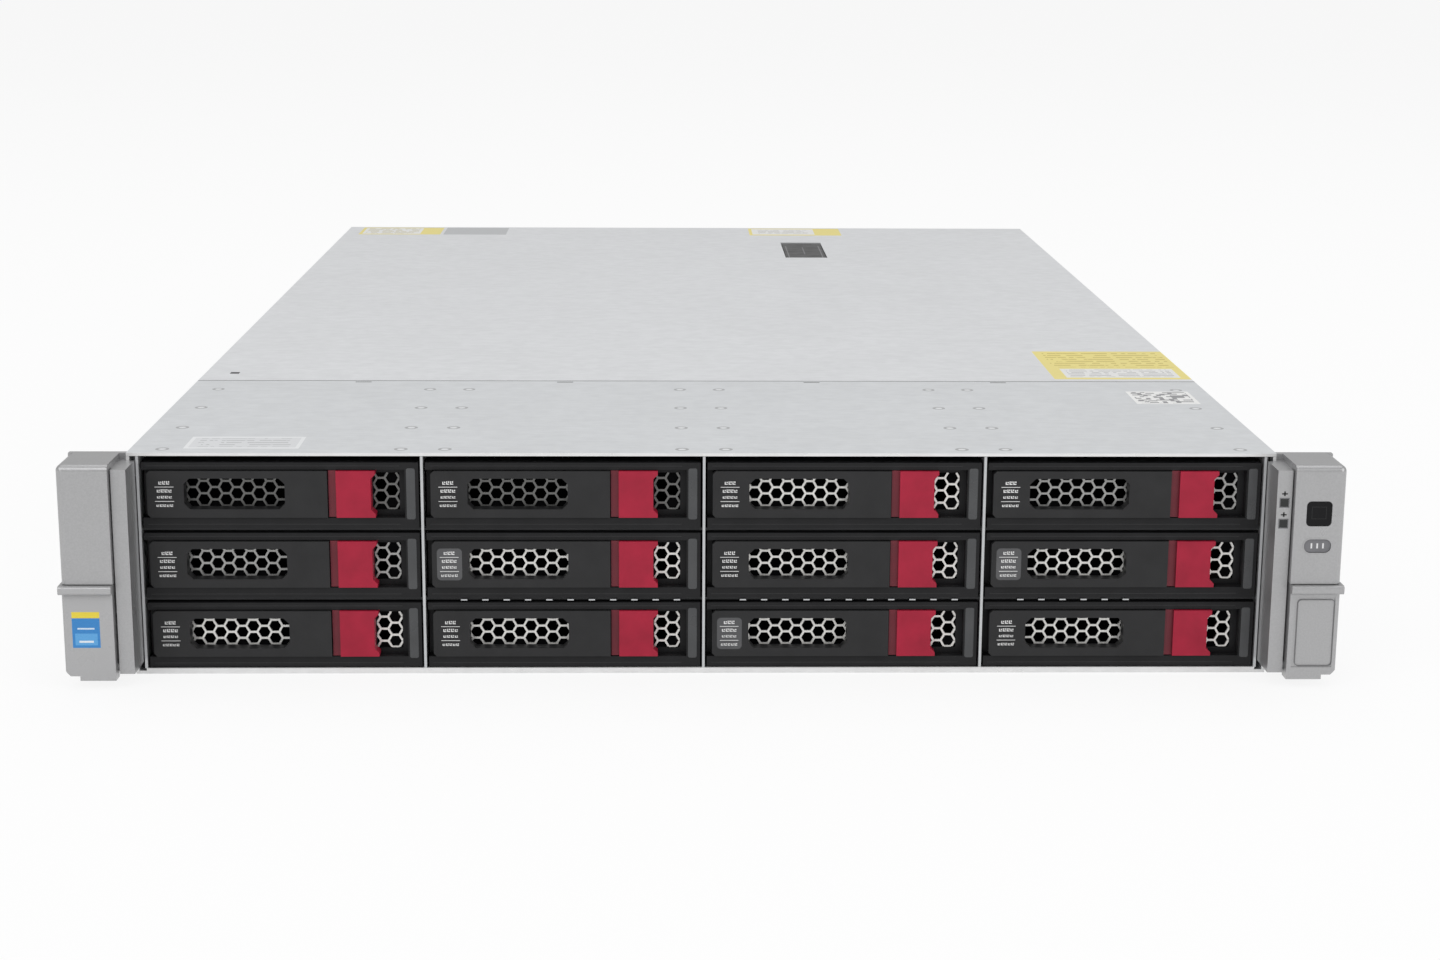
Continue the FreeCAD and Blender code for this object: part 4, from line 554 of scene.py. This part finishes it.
STRIP_FRONT = -367.0
lamp_glass = moulded("status_lamp", (0.010, 0.012, 0.012), 0.15, 0.002, 0.000002)
lamps = bmesh.new()
for lamp_z in (72.0, 63.9):
    add_bars(lamps, STRIP_FRONT - 0.08, STRIP_FRONT + 0.3,
             [(217.2, lamp_z - 1.5, 220.2, lamp_z + 1.5)], 0)
    add_bars(lamps, STRIP_FRONT - 0.05, STRIP_FRONT + 0.3,
             frame_bars(216.8, lamp_z - 1.9, 220.6, lamp_z + 1.9, 0.35), 1)
    add_bars(lamps, STRIP_FRONT - 0.04, STRIP_FRONT + 0.3,
             [(218.4, lamp_z + 2.6, 219.0, lamp_z + 4.4), (217.6, lamp_z + 3.2, 219.8,
                                                           lamp_z + 3.7)], 2)
piece("status_lamps", lamps, [lamp_glass, grey_plastic, black_plastic], "chassis")

dress("power_button", [black_gloss], bevel=0.3, smooth=35)
power_low, power_high = corners_of("power_button")
ring = bmesh.new()
add_bars(ring, power_low.y - 0.05, power_low.y + 0.2,
         frame_bars(power_low.x + 1.9, power_low.z + 2.6, power_high.x - 1.9,
                    power_high.z - 2.0, 0.22))
piece("power_mark", ring, [lever_plastic], "power_button")


def add_outline(mesh, outer, inner, y0, y1, index=0):
    """A flat ring between two rounded outlines with as many points."""
    loops = [[mesh.verts.new((x * MM, y * MM, z * MM)) for x, z in outline]
             for outline, y in ((outer, y0), (inner, y0), (inner, y1), (outer, y1))]
    for near, far in zip(loops, loops[1:] + loops[:1]):
        for number in range(len(near)):
            after = (number + 1) % len(near)
            face = mesh.faces.new((near[number], near[after], far[after], far[number]))
            face.material_index = index


outline = bmesh.new()
add_outline(outline, rounded(225.2, 8.6, 239.6, 35.0, 1.6),
            rounded(225.48, 8.88, 239.32, 34.72, 1.35), EAR_FRONT - 0.06, EAR_FRONT + 0.2)
piece("plate_outline", outline, [dark_edge_ink], "right_ear_lever")
pill_low, pill_high = corners_of("locator_button")
pill = bmesh.new()
add_outline(pill, rounded(pill_low.x - 0.5, pill_low.z - 0.5, pill_high.x + 0.5,
                          pill_high.z + 0.5, 2.9),
            rounded(pill_low.x - 0.05, pill_low.z - 0.05, pill_high.x + 0.05,
                    pill_high.z + 0.05, 2.45), EAR_FRONT - 0.12, EAR_FRONT + 0.2)
piece("locator_rim", pill, [silver], "chassis")
glyph = bmesh.new()
centre_x, centre_z = (pill_low.x + pill_high.x) / 2, (pill_low.z + pill_high.z) / 2
add_bars(glyph, pill_low.y - 0.05, pill_low.y + 0.2,
         [(centre_x + shift - 0.3, centre_z - 1.0, centre_x + shift + 0.3, centre_z + 1.0)
          for shift in (-2.2, 0.0, 2.2)])
piece("locator_marks", glyph, [mark_ink], "locator_button")
dress("locator_button", [grey_plastic], bevel=0.3, smooth=35)


# Drive carriers.

def carrier_paint(front):
    """Bezel, grille, rails and drive by their depth behind the carrier's front; the grille sheet
    and the drive's front are painted black as shade.
    """
    def choose(middle, normal):
        depth = middle.y - front
        if depth > 14.05:
            return 1 if normal.y < -0.9 and depth < 60 else 2
        if 6.15 < depth < 7.05:
            return 1
        return 0
    return choose


CELL_PITCH = 4.87
CELL_RIB = 0.8
COLUMN_STEP = CELL_PITCH * math.sqrt(3) / 2
MIDDLE_Z = 13.6
RIB_DEPTH = 6.1
RIB_THICKNESS = 0.7
LEVER_FRONT = -350.4


def clipped(start, end, window):
    """The part of a line that lies in a rectangle (x0, z0, x1, z1), or None."""
    low, high = 0.0, 1.0
    for index in (0, 1):
        run = end[index] - start[index]
        for limit, sign in ((window[index], -1), (window[index + 2], 1)):
            room = sign * (limit - start[index])
            slope = sign * run
            if abs(slope) < 1e-9:
                if room < 0:
                    return None
            elif slope > 0:
                high = min(high, room / slope)
            else:
                low = max(low, room / slope)
    if low >= high:
        return None
    spot = [tuple(start[i] + (end[i] - start[i]) * share for i in (0, 1))
            for share in (low, high)]
    return spot[0], spot[1], low > 0, high < 1


def add_ribs(mesh, origin, first_column, phases, columns, window, y0):
    """Honeycomb ribs in a window, with mitred joints: phases give each column's offset."""
    radius = CELL_PITCH / math.sqrt(3)
    seen = set()
    for column in columns:
        x = first_column + column * COLUMN_STEP
        for row in range(-3, 4):
            z = MIDDLE_Z + phases[column % 2] + row * CELL_PITCH
            corners = [(x + radius * math.cos(math.pi / 3 * turn),
                        z + radius * math.sin(math.pi / 3 * turn)) for turn in range(6)]
            for turn in range(6):
                start, end = sorted((corners[turn], corners[(turn + 1) % 6]))
                key = tuple(round(value, 4) for value in start + end)
                part = clipped(start, end, window)
                if key in seen or part is None:
                    continue
                seen.add(key)
                add_rib(mesh, origin, part, y0)


def add_rib(mesh, origin, part, y0):
    """One rib. An end that the window doesn't cut is pointed, so that three meet neatly."""
    start, end, cut_start, cut_end = part
    start, end = Vector(start), Vector(end)
    if (end - start).length < 0.5:
        return
    along = (end - start).normalized()
    side = Vector((-along.y, along.x)) * CELL_RIB / 2
    mitre = CELL_RIB / 2 / math.sqrt(3)
    outline = []
    for spot, inward, cut, turn in ((start, along, cut_start, -1), (end, -along, cut_end, 1)):
        shoulder = spot if cut else spot + inward * mitre
        outline.append(shoulder + side * turn)
        if not cut:
            outline.append(spot)
        outline.append(shoulder - side * turn)
    add_plate(mesh, [(origin[0] + spot.x, origin[1] + spot.y) for spot in outline], y0,
              y0 + RIB_THICKNESS)


def add_label(mesh, x, z, sticker_under):
    """Four rows of small generic marks between two fine rules."""
    front = LEVER_FRONT
    rows = ((3, 1.3, 17.3), (4, 1.25, 14.2), (4, 0.95, 11.9), (5, 0.95, 8.6))
    for count, height, level in rows:
        width, gap = 1.15 if count < 5 else 1.0, 0.32
        start = x + 9.9 - (count * width + (count - 1) * gap) / 2
        for mark in range(count):
            left = start + mark * (width + gap)
            tall = height if mark % 3 else height * 0.86
            add_bars(mesh, front - 0.05, front + 0.1,
                     [(left, z + level, left + width, z + level + tall * 0.28),
                      (left, z + level + tall * 0.28, left + width * 0.34, z + level + tall),
                      (left + width * 0.6, z + level + tall * 0.55, left + width,
                       z + level + tall)])
    add_bars(mesh, front - 0.05, front + 0.1,
             [(x + 6.3, z + 16.2, x + 13.5, z + 16.42), (x + 6.3, z + 10.6, x + 13.5,
                                                        z + 10.82)])
    if sticker_under:
        add_plate(mesh, [(x + px, z + pz) for px, pz in rounded(5.2, 7.2, 14.8, 19.8, 1.6)],
                  front - 0.03, front + 0.1, 1)


BUTTON_SHADE = 3.01
STICKERS = ("06", "08", "11")
# Carriers whose grille ribs take the steel with painted shade, full or half.
SHADED = ("01", "02")
HALF_SHADED = ("04", "05")

for number in BAYS:
    name = f"drive_carrier_{number}"
    low, high = corners_of(name)
    index = int(number) - 1
    bay_x = (index % COLUMNS - COLUMNS / 2) * BAY_PITCH
    bay_z = low.z
    dress(name, [charcoal, painted_shade_black, drive_case], carrier_paint(low.y))
    dress(f"carrier_lever_{number}", [lever_plastic], bevel=0.35)

    ribs = bmesh.new()
    rib_y = FRONT_Y + RIB_DEPTH
    add_ribs(ribs, (bay_x, bay_z), 36.4, (-CELL_PITCH / 4, CELL_PITCH / 4), range(-6, 7),
             (15.8, 6.1, 57.0, 21.1), rib_y)
    add_ribs(ribs, (bay_x, bay_z), 93.4 - COLUMN_STEP / 2, (CELL_PITCH / 2, 0.0), range(-1, 3),
             (88.5, 6.2, 98.3, 20.6), rib_y)
    steel = painted_shade_honeycomb if number in SHADED else \
        half_painted_shade_honeycomb if number in HALF_SHADED else honeycomb
    piece(f"grille_ribs_{number}", ribs, [steel], name)

    strip = bmesh.new()
    add_plate(strip, [(bay_x + x, bay_z + z) for x, z in rounded(101.5, 3.4, 104.9, 23.4, 0.8)],
              low.y - 0.12, low.y + 0.3)
    add_bars(strip, low.y - 0.06, low.y + 0.3,
             [(bay_x + 3.0, bay_z + 1.3, bay_x + 99.0, bay_z + 1.7),
              (bay_x + 3.0, bay_z + 24.1, bay_x + 99.0, bay_z + 24.5)], 1)
    piece(f"light_strip_{number}", strip, [strip_plastic, lever_plastic], name,
          bevel=0.05)

    label = bmesh.new()
    add_label(label, bay_x, bay_z, number in STICKERS)
    piece(f"lever_marks_{number}", label, [mark_ink, sticker_grey], f"carrier_lever_{number}")
    # The left end of each release button takes a darker crimson: painted shade.
    shade_end = corners_of(f"release_button_{number}")[0].x + BUTTON_SHADE
    dress(f"release_button_{number}", [crimson, painted_shade_crimson],
          lambda middle, normal: 1 if middle.x < shade_end else 0, bevel=0.35)


# Slots in the front edges of two shelves show as pale dashes.

dashes = bmesh.new()
SHELF_FRONT = FRONT_Y + 1.2
for shelf_x, count, shelf_z in ((-107.5, 11, 29.2), (107.5, 6, 29.2), (0.0, 11, 29.2)):
    for number in range(count):
        start = shelf_x + 14 + 8.2 * number
        add_bars(dashes, SHELF_FRONT - 0.12, SHELF_FRONT + 0.3,
                 [(start, shelf_z - 0.25, start + 2.4, shelf_z + 0.25)])
piece("shelf_slots", dashes, [cage_steel], "chassis")


# Inside.

dress("drive_backplane", [board_green, black_plastic],
      lambda middle, normal: 1 if middle.y < -178.05 else 0)


CONNECTORS_FROM = 332
SOCKET_TOP = 13.9


def board_paint(middle, normal):
    """Connector shells and port frame, plastic sockets, and the board with its modules."""
    if middle.y > CONNECTORS_FROM and middle.z > 6.9:
        return 2
    return 1 if 6.85 < middle.z < SOCKET_TOP else 0


dress("system_board", [board_green, black_plastic, case_metal], board_paint)
dress("heat_sink", [aluminium])

perforated = sheet_metal("perforated_blank", ZINC, 0.44, 0.5)
HOLE_PITCH = 5.2
HOLE_REACH = 0.00155
near_hole = perforated.math(
    "MINIMUM",
    perforated.length(perforated.wave("X", HOLE_PITCH, 0.0),
                      perforated.wave("Z", HOLE_PITCH, 0.0)),
    perforated.length(perforated.wave("X", HOLE_PITCH, HOLE_PITCH / 2),
                      perforated.wave("Z", HOLE_PITCH, HOLE_PITCH / 2)))
punched = perforated.math("LESS_THAN", near_hole, HOLE_REACH)
vented = 0.0
for first_x in (-121.7, 92.3):
    for first_z in (24.7, 44.7, 64.7):
        patch = perforated.inside(first_x + 10, first_x + 104, first_z + 3.2, first_z + 15,
                                  "XZ")
        vented = perforated.math("MAXIMUM", vented, patch)
# Painted shade: the punched holes in the vent patches are dark dots, not cut.
perforated.over((0.010, 0.010, 0.011), perforated.math("MULTIPLY", punched, vented))


def riser_paint(middle, normal):
    """Perforated slot blanks, green riser boards and plain cage sheet."""
    if normal.y > 0.9 and middle.y > 349.5:
        return 1
    return 2 if abs(normal.x) > 0.9 and middle.z < 75 and abs(middle.x % 214 - 199) < 1.7 else 0


dress("riser_cages", [cage_steel, perforated, board_green], riser_paint)

INLET_X = -197.9
OUTLET_X = -157.4
SUPPLY_REAR = 351.0


def supply_paint(middle, normal):
    """Black inlet, the pit behind the fan painted black as shade, black handle and a metal case."""
    if middle.y > SUPPLY_REAR + 0.3:
        return 1
    if 334.9 < middle.y < SUPPLY_REAR - 0.2:
        if abs(middle.x - INLET_X) < 13.7:
            return 1
        if abs(middle.x - OUTLET_X) < 16.1 and middle.y > 345:
            return 2
    return 0


def add_blades(mesh, x, z, count, inner, outer, y0, y1):
    """Curved fan blades round the Y axis, each as one thin swept sheet."""
    for blade in range(count):
        start = 2 * math.pi * blade / count
        sheet = []
        for step in range(6):
            share = step / 5
            radius = inner + (outer - inner) * share
            edge = []
            for lead, y in ((0.0, y0), (0.62 - 0.12 * share, y1)):
                angle = start + 0.5 * share + lead
                edge.append((x + radius * math.cos(angle), y, z + radius * math.sin(angle)))
            sheet.append(edge)
        for side in (0.0, 0.35):
            spots = [[mesh.verts.new((px * MM, (y + side) * MM, pz * MM)) for px, y, pz in edge]
                     for edge in sheet]
            for near, far in zip(spots, spots[1:]):
                mesh.faces.new((near[0], near[1], far[1], far[0])).smooth = True


def add_ring(mesh, x, y, z, radius, wire, index=0):
    """A round wire bent to a circle about the Y axis."""
    rings = []
    for step in range(40):
        angle = 2 * math.pi * step / 40
        ring = []
        for side in range(6):
            turn = 2 * math.pi * side / 6
            reach = radius + wire * math.cos(turn)
            ring.append(mesh.verts.new((Vector((x + reach * math.cos(angle),
                                                y + wire * math.sin(turn),
                                                z + reach * math.sin(angle)))) * MM))
        rings.append(ring)
    for step in range(40):
        near, far = rings[step], rings[(step + 1) % 40]
        for side in range(6):
            after = (side + 1) % 6
            face = mesh.faces.new((near[side], near[after], far[after], far[side]))
            face.material_index = index
            face.smooth = True


for number in ("1", "2"):
    dress(f"power_supply_{number}", [case_metal, black_plastic, painted_shade_black], supply_paint,
          bevel=0.2)
    dress(f"power_supply_latch_{number}", [crimson], bevel=0.3)
for number in range(1, 5):
    dress(f"fan_rotor_{number}", [black_plastic], smooth=30)


# Contacts of the rear connectors.

BOARD_TOP = 6.8
PORT_BACK = 340.7
PIN_Y = (334.9, 346.5)
JACKS_X = (-114.0, -98.0, -82.0, -66.0, -42.0)
USB_X = (-18.0, -3.5)
PLUGS_X = ((24.0, 3), (57.0, 2))
SUPPLY_MIDDLES = (("1", 21.4), ("2", 63.0))
for number, middle_z in SUPPLY_MIDDLES:
    pins = bmesh.new()
    for x, z in ((INLET_X, middle_z + 3.6), (INLET_X - 7.0, middle_z - 2.2),
                 (INLET_X + 7.0, middle_z - 2.2)):
        blade = [(x + dx, z + dz) for dx, dz in rounded(-1.0, -2.3, 1.0, 2.3, 0.6, 3)]
        add_plate(pins, blade, *PIN_Y)
    piece(f"inlet_pins_{number}", pins, [case_metal], f"power_supply_{number}",
          bevel=0.15)
    signal = bmesh.new()
    add_turned(signal, (-178.4, SUPPLY_REAR - 0.2, middle_z - 12.5), (0, 1, 0),
               [(1.7, 0.0), (1.7, 0.5), (1.3, 0.9), (0.7, 1.1)], 16)
    piece(f"supply_lamp_{number}", signal, [green_lens], f"power_supply_{number}")
    blower = bmesh.new()
    add_blades(blower, OUTLET_X, middle_z, 9, 5.5, 15.2, 346.3, 348.6)
    add_turned(blower, (OUTLET_X, 346.0, middle_z), (0, 1, 0),
               [(6.4, 0.0), (6.4, 2.6), (5.9, 3.0), (2.0, 3.05)], 24)
    piece(f"supply_fan_{number}", blower, [black_plastic], f"power_supply_{number}")
    guard = bmesh.new()
    for radius in (4.0, 7.4, 10.8, 14.2):
        add_ring(guard, OUTLET_X, SUPPLY_REAR - 0.9, middle_z, radius, 0.5)
    for turn in range(4):
        angle = math.pi / 4 + math.pi / 2 * turn
        across = Vector((math.cos(angle), 0, math.sin(angle)))
        add_turned(guard, Vector((OUTLET_X, SUPPLY_REAR - 1.6, middle_z)) + across * 3.6,
                   across, [(0.5, 0.0), (0.5, 12.7)], 6)
    piece(f"fan_guard_{number}", guard, [case_metal], f"power_supply_{number}")

contacts = bmesh.new()
for x in JACKS_X:
    add_plate(contacts, [(x + dx, dz) for dx, dz in ((2.6, 20.2), (2.6, 17.4), (4.4, 16.4),
                                                    (11.6, 16.4), (13.4, 17.4), (13.4, 20.2))],
              PORT_BACK, PORT_BACK + 6.0)
    for wire in range(8):
        left = x + 4.35 + wire * 0.97
        add_bars(contacts, PORT_BACK + 1.0, PORT_BACK + 6.4, [(left, 15.9, left + 0.5, 16.45)], 1)
for x in USB_X:
    add_plate(contacts, [(x + dx, dz) for dx, dz in rounded(1.8, 9.9, 12.7, 11.9, 0.3, 2)],
              PORT_BACK, PORT_BACK + 8.4, 2)
    for wire in range(4):
        left = x + 3.0 + wire * 2.3
        add_bars(contacts, PORT_BACK + 1.0, PORT_BACK + 8.0, [(left, 9.75, left + 1.2, 9.95)], 1)
for x, rows in PLUGS_X:
    body = [(3.6, 9.3), (27.4, 9.3), (29.0, 16.2), (28.0, 17.4), (3.0, 17.4), (2.0, 16.2)]
    add_plate(contacts, [(x + dx, dz) for dx, dz in body], PORT_BACK, PORT_BACK + 8.8, 2)
    for row in range(rows):
        for hole in range(5):
            add_turned(contacts, (x + 6.7 + 4.4 * hole, PORT_BACK + 8.7,
                                  11.2 + row * 4.6 / (rows - 0.6)), (0, 1, 0),
                       [(0.85, 0.0), (0.85, 0.25), (0.45, 0.3)], 10, 3)
# The discs on the plug faces are painted black as the shade in their holes.
piece("port_contacts", contacts, [black_plastic, contact_gold, slot_blue, painted_shade_black],
      "chassis")


# Parts soldered or clipped to the system board, guessed from such boards.

parts = bmesh.new()
for number in range(15):
    add_turned(parts, (-182 + 26 * number, -98, BOARD_TOP), (0, 0, 1),
               [(4.0, 0.0), (4.0, 0.6), (3.8, 0.9), (4.0, 1.2), (4.0, 8.2), (3.5, 8.8)], 20, 0)
for number in range(16):
    x = -170 + 22 * number
    low, high = (x, 60, BOARD_TOP), (x + 10, 70, BOARD_TOP + 6.5)
    add_box(parts, low, high, 1)
    add_box(parts, (x + 2, 59.2, BOARD_TOP), (x + 8, 60, BOARD_TOP + 2.2), 3)
for x, y, size in ((-95, 112, 16), (-62, 95, 12), (118, 84, 14), (160, 118, 18), (-30, 140, 13),
                   (-96, 306, 12), (-60, 300, 14), (40, 302, 16), (66, 306, 10), (2, 310, 9)):
    add_box(parts, (x, y, BOARD_TOP), (x + size, y + size, BOARD_TOP + 1.6), 1)
    add_box(parts, (x - 0.9, y + 0.8, BOARD_TOP), (x, y + size - 0.8, BOARD_TOP + 0.6), 3)
    add_box(parts, (x + size, y + 0.8, BOARD_TOP), (x + size + 0.9, y + size - 0.8,
                                                   BOARD_TOP + 0.6), 3)
for number in range(4):
    add_box(parts, (-104 + 14 * number, 84, BOARD_TOP), (-93 + 14 * number, 90, BOARD_TOP + 7), 2)
add_turned(parts, (104, 128, BOARD_TOP), (0, 0, 1),
           [(11.5, 0.0), (11.5, 3.0), (10.2, 3.0), (10.0, 4.4), (9.4, 4.8)], 32, 0)
piece("board_parts", parts, [capacitor, chip_black, slot_blue, contact_gold], "chassis",
      bevel=0.2)

cooler = bmesh.new()
add_box(cooler, (20, 92, BOARD_TOP), (62, 134, BOARD_TOP + 3.5))
for fin in range(11):
    add_box(cooler, (20.5 + 3.98 * fin, 92.5, BOARD_TOP + 3.4),
            (21.7 + 3.98 * fin, 133.5, BOARD_TOP + 14))
piece("chipset_cooler", cooler, [aluminium], "chassis", bevel=0.2)


# Camera, lights and backdrop.

def make_camera():
    data = bpy.data.cameras.new("photo_camera")
    camera = bpy.data.objects.new("photo_camera", data)
    bpy.context.scene.collection.objects.link(camera)
    image_width = 1440.0
    data.sensor_width = 36.0
    data.lens = 2480.0 / image_width * data.sensor_width
    data.shift_y = 8.0 / image_width
    data.clip_start = 0.05
    data.clip_end = 50.0
    pitch, yaw, roll = (math.radians(angle) for angle in (12.98, 1.37, 0.33))
    turn = Matrix.Rotation(-yaw, 4, "Z") @ Matrix.Rotation(math.pi / 2 - pitch, 4, "X") \
        @ Matrix.Rotation(roll, 4, "Z")
    camera.matrix_world = Matrix.Translation((-0.016, -1.2724, 0.2864)) @ turn
    bpy.context.scene.camera = camera


def make_lamp(name, place, target, size, power):
    data = bpy.data.lights.new(name, "AREA")
    data.shape = "RECTANGLE"
    data.size, data.size_y = size
    data.energy = power
    lamp = bpy.data.objects.new(name, data)
    bpy.context.scene.collection.objects.link(lamp)
    lamp.location = place
    lamp.rotation_euler = (Vector(target) - Vector(place)).to_track_quat("-Z", "Y").to_euler()


def make_floor():
    """A wide pale floor that shows as white to the camera but keeps soft shadows."""
    mesh = bmesh.new()
    reach = 12000
    add_box(mesh, (-reach, -reach, -20), (reach, reach, 0))
    data = bpy.data.meshes.new("studio_floor")
    mesh.to_mesh(data)
    mesh.free()
    floor = bpy.data.objects.new("studio_floor", data)
    bpy.context.scene.collection.objects.link(floor)
    paint = Paint("studio_floor", (0.90, 0.90, 0.90), 0.9)
    path = paint.add("ShaderNodeLightPath")
    seen = paint.math("MAXIMUM", path.outputs["Is Camera Ray"], path.outputs["Is Glossy Ray"])
    glow = paint.add("ShaderNodeEmission")
    paint.set(glow, "Color", (1, 1, 1, 1))
    blend = paint.add("ShaderNodeMixShader")
    paint.set(blend, 0, paint.math("MULTIPLY", seen, 0.86))
    paint.set(blend, 1, paint.shader.outputs[0])
    paint.set(blend, 2, glow.outputs[0])
    output = paint.tree.nodes["Material Output"]
    paint.set(output, "Surface", blend.outputs[0])
    data.materials.append(paint.material)


def make_world():
    world = bpy.data.worlds.new("studio")
    bpy.context.scene.world = world
    world.use_nodes = True
    tree = world.node_tree
    background = tree.nodes["Background"]
    path = tree.nodes.new("ShaderNodeLightPath")
    seen = tree.nodes.new("ShaderNodeMath")
    seen.operation = "MAXIMUM"
    tree.links.new(path.outputs["Is Camera Ray"], seen.inputs[0])
    tree.links.new(path.outputs["Is Transmission Ray"], seen.inputs[1])
    strength = tree.nodes.new("ShaderNodeMapRange")
    strength.inputs["To Min"].default_value = 0.55
    strength.inputs["To Max"].default_value = 1.0
    tree.links.new(seen.outputs[0], strength.inputs["Value"])
    tree.links.new(strength.outputs["Result"], background.inputs["Strength"])
    background.inputs["Color"].default_value = (1, 1, 1, 1)


make_camera()
make_world()
make_floor()
make_lamp("key_light", (-1.6, -2.2, 1.9), (0, -0.1, 0.05), (2.4, 1.8), 28)
make_lamp("fill_light", (1.9, -1.8, 1.3), (0, -0.2, 0.05), (2.0, 1.6), 17)
make_lamp("top_light", (0.1, 0.4, 2.6), (0, 0.1, 0.05), (2.6, 2.6), 20)

bpy.context.scene.view_settings.view_transform = "Standard"
